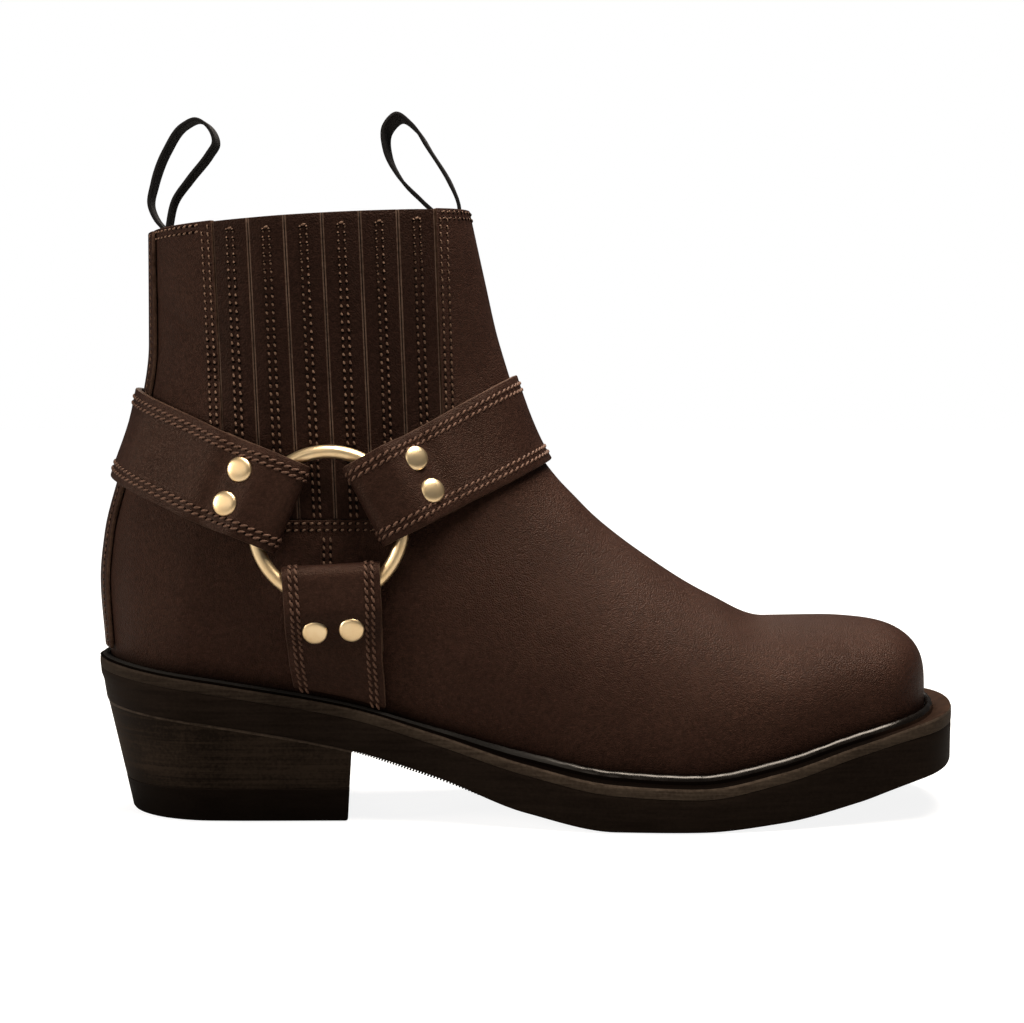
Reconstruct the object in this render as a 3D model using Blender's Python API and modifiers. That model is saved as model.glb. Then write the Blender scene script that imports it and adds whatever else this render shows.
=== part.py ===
"""Short ring boot for the right foot: a lasted leather shell on a welted rubber sole.

All sizes are millimetres and become metres when a mesh is made. Stations run from the rear end of
the sole (0) to the toe; the visible outer side of the boot is at -Y. The origin of the finished
part is the middle of the heel's flat rest on the floor.
"""

import math
from collections import namedtuple

import bmesh
import bpy
import numpy as np
from mathutils import Matrix, Vector

MM = 0.001
GAP = 0.3

# Main sizes
SOLE_REAR = 0.6
SOLE_END = 300.8
HEEL_REST_STATION = 50.0
WALL = 2.2
WELT_THICK = 3.9
WELT_ROLL_HIGH = 2.6
WELT_ROLL_WIDE = 2.4
WELT_INSIDE = 7.0
OUTSOLE_BEAD = 1.0
OUTSOLE_TUCK = 1.2
HEEL_LIFT_HIGH = 11.0
HEEL_REAR_SLOPE = 8.0
HEEL_SIDE_SLOPE = 2.6
HEEL_BREAST = 88.2
HEEL_BREAST_LEAN = 2.0
HEEL_BREAST_SKEW = 0.08
HEEL_SEAT_GAP = 0.4
INSOLE_THICK = 3.0

# The last: its sections are planes that fan out from a point in front of the instep
FAN_X = 230.0
FAN_Z = 214.0
TOE_END = 291.6
TOE_DEPTH = 24.0
TOE_SQUARE = 3.0
SWING = 10.0
SWING_FROM = 120.0
SWING_TO = 285.0
COLLAR_BACK_Z = 200.6
COLLAR_FRONT_Z = 208.2

GIRTH_COLUMNS = "name angle bottom_lateral bottom_medial full_lateral full_medial rise crown"
Girth = namedtuple("Girth", GIRTH_COLUMNS)
GIRTHS = [
    Girth("collar", 182.0, 38.0, 38.0, 39.0, 39.0, 0.40, 2.1),
    Girth("shaft", 193.0, 36.5, 36.5, 38.0, 38.0, 0.40, 2.1),
    Girth("ankle", 204.0, 33.0, 33.0, 37.0, 36.5, 0.40, 2.1),
    Girth("heel", 215.0, 31.5, 31.0, 36.5, 35.5, 0.38, 2.0),
    Girth("instep", 234.0, 31.0, 26.5, 38.5, 36.0, 0.34, 1.9),
    Girth("waist", 248.0, 37.0, 31.0, 43.5, 39.5, 0.30, 1.9),
    Girth("behind the ball", 256.0, 44.4, 36.4, 47.6, 41.2, 0.26, 2.0),
    Girth("ball", 263.0, 48.2, 39.6, 49.6, 42.0, 0.22, 2.1),
    Girth("before the toe", 270.0, 46.6, 38.6, 47.9, 40.2, 0.20, 2.4),
    Girth("toe", 278.0, 41.8, 35.4, 43.0, 36.6, 0.20, 2.7),
    Girth("toe tip", 292.0, 34.6, 28.8, 35.6, 29.8, 0.20, 3.4),
]

Height = namedtuple("Height", "z back heel_round")
BACKS = [
    Height(40.0, 5.0, 33.0),
    Height(56.0, 4.2, 33.0),
    Height(80.0, 2.6, 35.0),
    Height(96.0, 4.2, 37.0),
    Height(114.0, 8.8, 40.0),
    Height(138.0, 16.8, 44.0),
    Height(162.0, 20.4, 47.0),
    Height(230.0, 20.7, 50.0),
]

Ridge = namedtuple("Ridge", "name x z")
RIDGES = [
    Ridge("past the toe", 312.0, 58.0),
    Ridge("toe cap", 278.0, 63.8),
    Ridge("toe top", 256.0, 65.6),
    Ridge("vamp dip", 236.0, 65.5),
    Ridge("vamp", 216.0, 73.2),
    Ridge("low instep", 194.0, 86.6),
    Ridge("instep", 171.0, 104.8),
    Ridge("throat", 156.0, 122.5),
    Ridge("ankle front", 146.0, 146.0),
    Ridge("shaft front", 138.8, 172.0),
    Ridge("collar front", 131.1, 206.0),
    Ridge("past the collar", 126.0, 230.0),
]

# The sole: heights of its layers and half widths of its edge along the stations
Station = namedtuple("Station", "x welt_top outsole_bottom lateral medial")
STATIONS = [
    Station(-5.0, 54.8, 39.0, 35.0, 34.5),
    Station(20.0, 51.2, 36.4, 35.6, 35.0),
    Station(50.0, 46.6, 32.2, 36.4, 35.6),
    Station(90.0, 39.6, 24.8, 36.0, 32.0),
    Station(120.0, 30.8, 15.9, 38.0, 31.0),
    Station(150.0, 21.8, 5.0, 44.9, 36.1),
    Station(180.0, 16.2, 0.0, 54.0, 44.5),
    Station(208.0, 15.0, 0.0, 57.2, 48.2),
    Station(235.0, 19.4, 2.0, 54.4, 47.1),
    Station(262.0, 27.2, 7.5, 48.7, 41.8),
    Station(285.0, 33.0, 14.6, 43.8, 38.0),
    Station(308.0, 36.8, 19.8, 43.0, 36.4),
]
SOLE_HEEL_ROUND = 36.0
SOLE_TOE_DEPTH = 27.0

# The harness: straight bands in side view, from the ring to the back seam, the instep and the sole
RING_X = 84.4
RING_Z = 100.7
RING_RADIUS = 24.5
RING_WIRE = 2.0
STRAP_THICK = 2.2
STRAP_LIFT = 0.5
STRAP_FOLD = 12.7
STRAP_WIRE_END = 27.0
STRAP_PINCH = 40.0
STRAP_TAIL = 43.0
RING_CLEAR = 1.6
BACK_STAY_TURN = 0.062
Strap = namedtuple("Strap", "name end_x end_z wide end_wide rivets")
STRAP_REAR = Strap("strap_rear", 11.5, 131.5, 30.8, 32.2, 33.5)
STRAP_FRONT = Strap("strap_front", 150.5, 135.2, 28.8, 32.4, 34.3)
STRAP_DOWN = Strap("strap_down", 87.6, 44.6, 33.0, 31.0, 33.8)
STRAP_RUNS = [(STRAP_REAR, "rear", 0.5), (STRAP_FRONT, "front", 0.0), (STRAP_DOWN, "down", None)]
STRAP_BEND = RING_WIRE + GAP + 0.5 * STRAP_THICK
RIVET_SEAT = 0.5
RIVET_RADIUS = 4.1
RIVET_HIGH = 2.0
RIVET_APART = 12.2

# The gores
GORE_TOP_REAR = 45.4
GORE_TOP_FRONT = 120.0
GORE_LOW_REAR = 48.5
GORE_LOW_FRONT = 122.2
GORE_LOW_Z = 131.0
GORE_FOOT_REAR = 67.0
GORE_FOOT_FRONT = 105.0
GORE_FOOT_Z = 102.6
GORE_LAP = 4.0
GORE_THICK = 1.2
STRIPS = 6
STRIP_SLIT = 1.4
STRIP_THICK = 1.6

Stay = namedtuple("Stay", "z deep")
STAYS = [
    Stay(46.0, 3.7),
    Stay(78.0, 4.6),
    Stay(112.0, 4.3),
    Stay(150.0, 3.9),
    Stay(204.0, 3.0),
]
BACK_STAY_THICK = 1.4
BACK_STAY_LIFT = 0.4

# Pull loops: stations of the ribbon's path from the collar edge
LOOP_WIDE = 10.0
LOOP_THICK = 1.2

# Mesh fineness
AROUND = 40
TOE_LEVELS = 8
TOE_SHARE = 0.14
SHAFT_LEVELS = 13
SOLE_STEPS = 30
RING_STEPS = 22
RING_SIDES = 8
RIVET_STEPS = 8
LOOP_STEPS = 26


def column(table, name):
    return np.array([getattr(row, name) for row in table], float)


def smooth(table_in, table_out, at):
    """A curve through the rows of a table that never swings past them."""
    a = np.asarray(table_in, float)
    b = np.asarray(table_out, float)
    step = np.diff(a)
    rise = np.diff(b) / step
    slope = np.concatenate([rise[:1], np.zeros(len(a) - 2), rise[-1:]])
    for i in range(1, len(a) - 1):
        if rise[i - 1] * rise[i] > 0.0:
            w1 = 2.0 * step[i] + step[i - 1]
            w2 = step[i] + 2.0 * step[i - 1]
            slope[i] = (w1 + w2) / (w1 / rise[i - 1] + w2 / rise[i])
    at = np.clip(np.asarray(at, float), a[0], a[-1])
    i = np.clip(np.searchsorted(a, at, side="right") - 1, 0, len(step) - 1)
    t = (at - a[i]) / step[i]
    keep = (1.0 + 2.0 * t) * (1.0 - t) ** 2 * b[i] + t**2 * (3.0 - 2.0 * t) * b[i + 1]
    bend = t * (1.0 - t) ** 2 * slope[i] - t**2 * (1.0 - t) * slope[i + 1]
    return keep + step[i] * bend


def ease(t):
    t = np.clip(t, 0.0, 1.0)
    return t * t * (3.0 - 2.0 * t)


def station(name, x):
    return smooth(column(STATIONS, "x"), column(STATIONS, name), x)


def seat(x):
    """Height of the upper's lower edge, just above the welt."""
    return station("welt_top", x) + GAP


def back_at(z):
    return smooth(column(BACKS, "z"), column(BACKS, "back"), z)


def heel_round_at(z):
    return smooth(column(BACKS, "z"), column(BACKS, "heel_round"), z)


def ridge_curve(count=400):
    """The middle line over toe, vamp and shaft, as points spaced along the table's rows."""
    x = column(RIDGES, "x")
    z = column(RIDGES, "z")
    along = np.concatenate([[0.0], np.cumsum(np.hypot(np.diff(x), np.diff(z)))])
    at = np.linspace(0.0, along[-1], count)
    return smooth(along, x, at), smooth(along, z, at)


def fan_polar(x, z):
    angle = np.degrees(np.arctan2(z - FAN_Z, x - FAN_X)) % 360.0
    return angle, np.hypot(x - FAN_X, z - FAN_Z)


def fan_limits():
    """Distance from the fan's centre to the ridge and to the sole or back, for each angle."""
    angles = np.linspace(180.0, 296.0, 233)
    ridge_angle, ridge_far = fan_polar(*ridge_curve())
    order = np.argsort(ridge_angle)
    near = np.interp(angles, ridge_angle[order], ridge_far[order])
    heights = np.linspace(FAN_Z, seat(4.0), 120)
    stations = np.linspace(4.0, 305.0, 240)[1:]
    bottom_x = np.concatenate([back_at(heights), stations])
    bottom_z = np.concatenate([heights, seat(stations)])
    bottom_angle, bottom_far = fan_polar(bottom_x, bottom_z)
    order = np.argsort(bottom_angle)
    far = np.interp(angles, bottom_angle[order], bottom_far[order])
    window = np.hanning(27)
    window = window / window.sum()
    padded = np.concatenate([np.full(13, far[0]), far, np.full(13, far[-1])])
    return angles, near, np.convolve(padded, window, mode="valid")


FAN_ANGLES, FAN_NEAR, FAN_FAR = fan_limits()


def girth(name, angle):
    return smooth(column(GIRTHS, "angle"), column(GIRTHS, name), angle)


def fullness(x, z):
    """How much of a section is left at a point: 1 on the side wall, 0 on the outline."""
    angle, distance = fan_polar(x, z)
    near = np.interp(angle, FAN_ANGLES, FAN_NEAR)
    far = np.interp(angle, FAN_ANGLES, FAN_FAR)
    reach = (far - distance) / (far - near)
    rise = girth("rise", angle)
    crown = np.clip((reach - rise) / (1.0 - rise), 0.0, None) ** girth("crown", angle)
    heel = np.clip(1.0 - (x - back_at(z)) / heel_round_at(z), 0.0, None) ** 2
    toe = np.clip(1.0 - (TOE_END - x) / TOE_DEPTH, 0.0, None) ** TOE_SQUARE
    return 1.0 - crown - heel - toe, angle, reach / rise


def half_width(x, z, side):
    """Distance of the upper's wall from its middle plane: side -1 is lateral, +1 medial."""
    left, angle, low = fullness(x, z)
    name = "lateral" if side < 0 else "medial"
    bottom = girth("bottom_" + name, angle)
    full = girth("full_" + name, angle)
    wall = full - (full - bottom) * np.clip(1.0 - low, 0.0, 1.0) ** 2
    return wall * np.sqrt(np.clip(left, 0.0, None))


def swing(x):
    """The middle plane bends to the inner side towards the toe."""
    return SWING * ease((x - SWING_FROM) / (SWING_TO - SWING_FROM))


def bisect(low, high, inside):
    """The last point between low and high for which inside() holds."""
    low = np.array(low, float)
    high = np.array(high, float)
    for _ in range(44):
        middle = 0.5 * (low + high)
        good = inside(middle)
        low = np.where(good, middle, low)
        high = np.where(good, high, middle)
    return 0.5 * (low + high)


def along_curve(x, z, count):
    length = np.concatenate([[0.0], np.cumsum(np.hypot(np.diff(x), np.diff(z)))])
    at = np.linspace(0.0, length[-1], count)
    return np.interp(at, length, x), np.interp(at, length, z)


def front_outline():
    """Outline of the upper in side view from the toe's lower edge to the collar."""
    toe_x = bisect(250.0, 300.0, lambda x: fullness(x, seat(x))[0] > 0.0)
    centre_x, centre_z = 262.0, 48.0
    start = math.atan2(float(seat(toe_x)) - centre_z, float(toe_x) - centre_x)
    turn = np.linspace(start, math.radians(100.0), 90)
    ray_x, ray_z = np.cos(turn), np.sin(turn)
    reach = bisect(
        np.zeros(90),
        np.full(90, 60.0),
        lambda r: fullness(centre_x + r * ray_x, centre_z + r * ray_z)[0] > 0.0,
    )
    toe = centre_x + reach * ray_x, centre_z + reach * ray_z
    ridge_x, ridge_z = ridge_curve()
    keep = (ridge_x < toe[0][-1] - 1.0) & (ridge_z < COLLAR_FRONT_Z)
    x = np.concatenate([toe[0], ridge_x[keep]])
    z = np.concatenate([toe[1], ridge_z[keep]])
    return along_curve(x, z, 300)


def back_outline():
    z = np.linspace(seat(4.0), COLLAR_BACK_Z, 200)
    return along_curve(back_at(z), z, 200)


FRONT_X, FRONT_Z = front_outline()
BACK_X, BACK_Z = back_outline()


def side_point(s, v):
    """Side view of the upper: s runs from back to front, v from the welt to the collar."""
    back = np.array([np.interp(v, np.linspace(0, 1, 200), c) for c in (BACK_X, BACK_Z)])
    front = np.array([np.interp(v, np.linspace(0, 1, 300), c) for c in (FRONT_X, FRONT_Z)])
    foot_x = BACK_X[0] + (FRONT_X[0] - BACK_X[0]) * s
    foot = np.array([foot_x, seat(foot_x)])
    collar = np.array(
        [
            BACK_X[-1] + (FRONT_X[-1] - BACK_X[-1]) * s,
            BACK_Z[-1] + (FRONT_Z[-1] - BACK_Z[-1]) * s,
        ]
    )
    corner = [(BACK_X[0], BACK_Z[0]), (FRONT_X[0], FRONT_Z[0])]
    corner += [(BACK_X[-1], BACK_Z[-1]), (FRONT_X[-1], FRONT_Z[-1])]
    heel, toe, rear, fore = [np.array(c).reshape((2,) + (1,) * np.ndim(s)) for c in corner]
    flat = (1 - v) * ((1 - s) * heel + s * toe) + v * ((1 - s) * rear + s * fore)
    return (1 - v) * foot + v * collar + (1 - s) * back + s * front - flat


def skin(turn, v):
    """A point of the upper: turn 0 is the ridge, a quarter the outer side, a half the back seam."""
    turn = np.asarray(turn, float) + 0.0 * np.asarray(v, float)
    v = np.asarray(v, float) + 0.0 * turn
    around = 2.0 * math.pi * turn
    s = 0.5 * (1.0 + np.cos(around))
    x, z = side_point(s, v)
    lateral = np.sin(around) > 0.0
    wide = np.where(lateral, -half_width(x, z, -1), half_width(x, z, 1))
    wide = np.where(np.abs(np.sin(around)) < 1e-6, 0.0, wide)
    return np.stack([x, wide + swing(x), z], axis=-1)


def skin_normal(turn, v):
    step = 2e-3
    high = np.clip(v + step, 0.0, 1.0)
    low = np.clip(v - step, 0.0, 1.0)
    across = skin(turn + step, v) - skin(turn - step, v)
    up = skin(turn, high) - skin(turn, low)
    normal = np.cross(up, across)
    return normal / np.linalg.norm(normal, axis=-1, keepdims=True)


def lifted(turn, v, lift):
    return skin(turn, v) + skin_normal(turn, v) * np.asarray(lift)[..., None]


SEED_S, SEED_V = np.meshgrid(np.linspace(0.01, 0.99, 50), np.linspace(0.01, 0.99, 50), indexing="ij")
SEED_X, SEED_Z = side_point(SEED_S, SEED_V)


def find_on_skin(x, z, side):
    """turn and v of the wall's point that is seen at x, z from the side."""
    x = np.asarray(x, float)
    z = np.asarray(z, float)
    far = (x[..., None] - SEED_X.ravel()) ** 2 + (z[..., None] - SEED_Z.ravel()) ** 2
    nearest = np.argmin(far, axis=-1)
    s = SEED_S.ravel()[nearest]
    v = SEED_V.ravel()[nearest]
    for _ in range(12):
        here = side_point(s, v)
        ds = (side_point(s + 1e-4, v) - here) / 1e-4
        dv = (side_point(s, v + 1e-4) - here) / 1e-4
        miss_x, miss_z = x - here[0], z - here[1]
        area = ds[0] * dv[1] - ds[1] * dv[0]
        s = np.clip(s + (miss_x * dv[1] - miss_z * dv[0]) / area, 0.0, 0.9998)
        v = np.clip(v + (ds[0] * miss_z - ds[1] * miss_x) / area, 0.0, 0.9998)
    turn = np.arccos(np.clip(2.0 * s - 1.0, -1.0, 1.0)) / (2.0 * math.pi)
    return (turn if side < 0 else 1.0 - turn), v


def fill_mesh(name, points, faces):
    mesh = bpy.data.meshes.new(name)
    mesh.from_pydata([tuple(p) for p in np.asarray(points) * MM], [], faces)
    mesh.validate()
    return mesh


def face_outwards(mesh):
    work = bmesh.new()
    work.from_mesh(mesh)
    bmesh.ops.recalc_face_normals(work, faces=work.faces)
    work.to_mesh(mesh)
    work.free()


def add_part(name, mesh, material, shaded=True):
    part = bpy.data.objects.new(name, mesh)
    PARTS.objects.link(part)
    part.parent = ROOT
    mesh.materials.append(material)
    for face in mesh.polygons:
        face.use_smooth = shaded
    return part


def thicken(part, thick, offset):
    shell = part.modifiers.new("thickness", "SOLIDIFY")
    shell.thickness = thick * MM
    shell.offset = offset
    shell.use_rim = True
    shell.use_even_offset = False


def sheet_faces(rows, across, wrap=False):
    """Quads of a grid whose faces look to the side of (up x across)."""
    faces = []
    for i in range(rows if wrap else rows - 1):
        n = (i + 1) % rows
        for j in range(across - 1):
            faces.append((i * across + j, i * across + j + 1, n * across + j + 1, n * across + j))
    return faces


def add_sheet(name, grid, thick, offset, material, wrap=False):
    rows, across = grid.shape[:2]
    mesh = fill_mesh(name, grid.reshape(-1, 3), sheet_faces(rows, across, wrap))
    part = add_part(name, mesh, material)
    thicken(part, thick, offset)
    return part


def add_plate(name, rings, material, hollow=False):
    """A solid through closed outlines; each ring is rear point, lateral row, toe point, medial row."""
    count = len(rings[0])
    half = count // 2
    points = np.concatenate(rings)
    faces = []
    pairs = len(rings) if hollow else len(rings) - 1
    for r in range(pairs):
        low = r * count
        high = ((r + 1) % len(rings)) * count
        for i in range(count):
            n = (i + 1) % count
            faces.append((low + i, low + n, high + n, high + i))
    if not hollow:
        for low in (0, (len(rings) - 1) * count):
            for i in range(half):
                a, b = low + i, low + i + 1
                c, d = low + count - i - 1, low + (count - i) % count
                corners = [a, b, c, d]
                faces.append(tuple(dict.fromkeys(corners)))
    mesh = fill_mesh(name, points, faces)
    face_outwards(mesh)
    return add_part(name, mesh, material, False)


def outline(x, lateral, medial, heights):
    """One ring from stations with both half widths; its ends lie on the middle plane."""
    middle = swing(x)
    near = np.stack([x, middle - lateral, heights], axis=1)
    far = np.stack([x, middle + medial, heights], axis=1)
    return np.concatenate([near, far[-2:0:-1]])


def spread(ring, out):
    """The ring moved outwards in plan."""
    ahead = np.roll(ring, -1, axis=0) - np.roll(ring, 1, axis=0)
    normal = np.stack([ahead[:, 1], -ahead[:, 0]], axis=1)
    normal = normal / np.linalg.norm(normal, axis=1, keepdims=True)
    moved = ring.copy()
    moved[:, :2] += normal * np.asarray(out).reshape(-1, 1)
    return moved


def at_height(ring, height):
    moved = ring.copy()
    moved[:, 2] = height(moved[:, 0])
    return moved


def sole_ring():
    along = np.linspace(0.0, math.pi, SOLE_STEPS + 1)
    x = SOLE_REAR + 0.5 * (SOLE_END - SOLE_REAR) * (1.0 - np.cos(along))
    heel = np.clip(1.0 - (x - SOLE_REAR) / SOLE_HEEL_ROUND, 0.0, None) ** 2
    toe = np.clip(1.0 - (SOLE_END - x) / SOLE_TOE_DEPTH, 0.0, None) ** TOE_SQUARE
    left = np.sqrt(np.clip(1.0 - heel - toe, 0.0, None))
    return outline(x, station("lateral", x) * left, station("medial", x) * left, 0.0 * x)


def upper_ring(lift):
    """The upper's outline in plan at a height above its lower edge."""
    along = np.linspace(0.0, math.pi, SOLE_STEPS + 1)
    x = BACK_X[0] + 0.5 * (FRONT_X[0] - BACK_X[0]) * (1.0 - np.cos(along))
    wide = []
    for side in (-1, 1):
        rows = [half_width(x, seat(x) + h, side) for h in np.linspace(0.0, lift, 3)]
        wide.append(np.max(rows, axis=0))
        wide[-1][[0, -1]] = 0.0
    return outline(x, wide[0], wide[1], 0.0 * x)


def welt_top(x):
    return station("welt_top", x)


def welt_bottom(x):
    return station("welt_top", x) - WELT_THICK


def outsole_top(x):
    return welt_bottom(x) - GAP


def outsole_bottom(x):
    return station("outsole_bottom", x)


def build_sole():
    edge = sole_ring()
    tuck = OUTSOLE_TUCK * (1.0 - ease(edge[:, 0] / 30.0))
    outsole = [
        at_height(spread(edge, -2.4 - tuck), outsole_bottom),
        at_height(spread(edge, -1.2 - tuck), lambda x: outsole_bottom(x) + 1.6),
        at_height(spread(edge, -0.9), lambda x: outsole_top(x) - 2.6),
        at_height(spread(edge, -0.9 + OUTSOLE_BEAD), lambda x: outsole_top(x) - 2.2),
        at_height(spread(edge, -0.9 + OUTSOLE_BEAD), lambda x: outsole_top(x) - 1.0),
        at_height(spread(edge, -0.4), outsole_top),
    ]
    add_plate("outsole", outsole, RUBBER)

    wall = spread(upper_ring(WELT_ROLL_HIGH + 0.6), 0.45)
    roll_top = WELT_ROLL_HIGH
    inside = spread(upper_ring(0.0), -WELT_INSIDE)
    welt = [
        at_height(spread(edge, -0.2), welt_bottom),
        at_height(spread(edge, 0.0), lambda x: welt_bottom(x) + 1.2),
        at_height(spread(edge, 0.0), lambda x: welt_top(x) - 0.8),
        at_height(spread(edge, -0.7), welt_top),
        at_height(spread(wall, WELT_ROLL_WIDE), welt_top),
        at_height(spread(wall, WELT_ROLL_WIDE - 0.5), lambda x: welt_top(x) + 0.75 * roll_top),
        at_height(spread(wall, 0.45 * WELT_ROLL_WIDE), lambda x: welt_top(x) + roll_top),
        at_height(wall, lambda x: welt_top(x) + 0.8 * roll_top),
        at_height(wall, welt_top),
        at_height(inside, welt_top),
        at_height(inside, welt_bottom),
    ]
    add_plate("welt", welt, WELT_BLACK, hollow=True)

    inner = spread(upper_ring(0.0), -(WALL + 1.0))
    insole = [
        at_height(inner, lambda x: welt_top(x) + GAP),
        at_height(inner, lambda x: welt_top(x) + GAP + INSOLE_THICK - 0.6),
        at_height(spread(inner, -0.8), lambda x: welt_top(x) + GAP + INSOLE_THICK),
    ]
    add_plate("insole", insole, LINING)


def heel_ring(height, inset):
    """Outline of the heel: round behind, straight at the breast."""
    along = np.linspace(0.0, 0.5 * math.pi, 15)
    base = HEEL_BREAST * (1.0 - np.cos(along))
    down = 1.0 - height(base) / 36.0
    rear = 3.8 + inset + HEEL_REAR_SLOPE * down
    breast = HEEL_BREAST + 1.0 - HEEL_BREAST_LEAN * down
    x = rear + (breast - rear) * base / HEEL_BREAST
    left = np.sqrt(np.clip(1.0 - np.clip(1.0 - base / SOLE_HEEL_ROUND, 0.0, None) ** 2, 0.0, None))
    taper = 1.2 + inset + HEEL_SIDE_SLOPE * down
    lateral = (station("lateral", base) - taper) * left
    medial = (station("medial", base) - taper) * left
    share = base / HEEL_BREAST
    near_x = x + HEEL_BREAST_SKEW * share * lateral
    far_x = x - HEEL_BREAST_SKEW * share * medial
    near = np.stack([near_x, -lateral, height(near_x)], axis=1)
    far = np.stack([far_x, medial, height(far_x)], axis=1)
    return np.concatenate([near, far[:0:-1]])


def build_heel():
    lift_top = HEEL_LIFT_HIGH
    lift = [
        heel_ring(lambda x: 0.0 * x, 0.8),
        heel_ring(lambda x: 0.0 * x + 1.0, 0.0),
        heel_ring(lambda x: 0.0 * x + lift_top, 0.0),
    ]
    add_plate("heel_lift", lift, RUBBER)
    block = [
        heel_ring(lambda x: 0.0 * x + lift_top + GAP, 0.3),
        heel_ring(lambda x: 0.0 * x + lift_top + GAP + 0.6, 0.0),
        heel_ring(lambda x: outsole_bottom(x) - HEEL_SEAT_GAP - 0.6, 0.0),
        heel_ring(lambda x: outsole_bottom(x) - HEEL_SEAT_GAP, 0.3),
    ]
    add_plate("heel_block", block, HEEL_STACK)


def gore_edges(z):
    """Stations of the cut-out's rear and front edge at a height."""
    heights = [GORE_FOOT_Z - 4.0, GORE_FOOT_Z, GORE_LOW_Z, 240.0]
    lean = (240.0 - GORE_LOW_Z) / (COLLAR_BACK_Z - GORE_LOW_Z)
    rear_top = GORE_LOW_REAR + (GORE_TOP_REAR - GORE_LOW_REAR) * lean
    front_top = GORE_LOW_FRONT + (GORE_TOP_FRONT - GORE_LOW_FRONT) * lean
    rear = np.interp(z, heights, [GORE_FOOT_REAR + 2.0, GORE_FOOT_REAR, GORE_LOW_REAR, rear_top])
    front = np.interp(z, heights, [GORE_FOOT_FRONT - 2.0, GORE_FOOT_FRONT, GORE_LOW_FRONT, front_top])
    return rear, front


def gore_cutter(name, near_y, far_y):
    heights = np.array([GORE_FOOT_Z, GORE_LOW_Z - 6.0, GORE_LOW_Z, GORE_LOW_Z + 20.0, 226.0])
    rear, front = gore_edges(heights)
    side = np.concatenate([np.stack([rear, heights], 1), np.stack([front, heights], 1)[::-1]])
    count = len(side)
    points = [(x, y, z) for y in (near_y, far_y) for x, z in side]
    faces = [tuple(range(count)), tuple(range(2 * count - 1, count - 1, -1))]
    for i in range(count):
        n = (i + 1) % count
        faces.append((i, n, count + n, count + i))
    mesh = fill_mesh(name, points, faces)
    face_outwards(mesh)
    cutter = bpy.data.objects.new(name, mesh)
    CUTTERS.objects.link(cutter)
    cutter.parent = ROOT
    cutter.hide_render = True
    cutter.display_type = "WIRE"
    return cutter


def build_upper():
    turns = np.arange(AROUND) / AROUND
    low = np.linspace(0.0, TOE_SHARE, TOE_LEVELS + 1)
    levels = np.concatenate([low[:-1], np.linspace(TOE_SHARE, 1.0, SHAFT_LEVELS + 1)])
    grid = skin(turns[:, None], levels[None, :])
    upper = add_sheet("upper", grid, WALL, -1.0, LEATHER, wrap=True)
    for name, near_y, far_y in (("gore_cut_lateral", -70.0, -12.0), ("gore_cut_medial", 12.0, 70.0)):
        cut = upper.modifiers.new(name, "BOOLEAN")
        cut.operation = "DIFFERENCE"
        cut.solver = "EXACT"
        cut.object = gore_cutter(name, near_y, far_y)


def add_patch(name, x, z, side, lift, thick, offset, material):
    """A piece of sheet on the upper, laid out in side view."""
    turn, v = find_on_skin(x, z, side)
    grid = lifted(turn, v, lift + 0.0 * turn)
    if side > 0:
        grid = grid[:, ::-1]
    return add_sheet(name, grid, thick, offset, material)


def collar_z(x):
    share = (x - BACK_X[-1]) / (FRONT_X[-1] - BACK_X[-1])
    return COLLAR_BACK_Z + (COLLAR_FRONT_Z - COLLAR_BACK_Z) * share


def build_gores():
    part = np.linspace(0.0, 1.0, 9)
    for side, name in ((-1, "lateral"), (1, "medial")):
        heights = GORE_FOOT_Z - GORE_LAP + (COLLAR_BACK_Z - GORE_FOOT_Z + GORE_LAP) * part
        rear, front = gore_edges(heights)
        rear = rear - GORE_LAP
        front = front + GORE_LAP
        across = np.linspace(1.0, 0.0, 8)
        x = rear[None, :] + (front - rear)[None, :] * across[:, None]
        z = heights[None, :] + (collar_z(x) - 0.2 - COLLAR_BACK_Z) * part[None, :]
        add_patch("gore_" + name, x, z, side, -(WALL + 0.5), GORE_THICK, -1.0, ELASTIC)
        for i in range(STRIPS):
            add_strip(f"gore_strip_{name}_{i + 1}", i, side)


def add_strip(name, number, side):
    """One leather strip between two slits, from the collar to the cut-out's lower edge."""
    share = np.array([number + 1.0, number + 0.5, number]) / STRIPS
    inset = np.array([-0.5, 0.0, 0.5]) * STRIP_SLIT
    top_rear, top_front = gore_edges(200.0)
    low_rear, low_front = gore_edges(GORE_LOW_Z)
    top = top_rear + (top_front - top_rear) * share + inset
    low = low_rear + (low_front - low_rear) * share + inset

    def lean(z):
        return low + (top - low) * (z - GORE_LOW_Z) / (200.0 - GORE_LOW_Z)

    foot = strip_foot(low)
    for _ in range(6):
        foot = strip_foot(lean(foot))
    rows = np.linspace(0.0, 1.0, 6)
    z = foot[:, None] + (collar_z(top) - 0.4 - foot)[:, None] * rows[None, :]
    x = np.stack([lean(z[:, k]) for k in range(len(rows))], axis=1)
    add_patch(name, x, z, side, -0.3, STRIP_THICK, -1.0, LEATHER)


def strip_foot(x):
    """Lower end of a strip: the cut-out's floor or its slanted edge."""
    rear = (GORE_FOOT_REAR - x) / (GORE_FOOT_REAR - GORE_LOW_REAR)
    front = (x - GORE_FOOT_FRONT) / (GORE_LOW_FRONT - GORE_FOOT_FRONT)
    share = np.clip(np.maximum(rear, front), 0.0, None)
    return GORE_FOOT_Z + (GORE_LOW_Z - GORE_FOOT_Z) * share + 1.0


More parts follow.
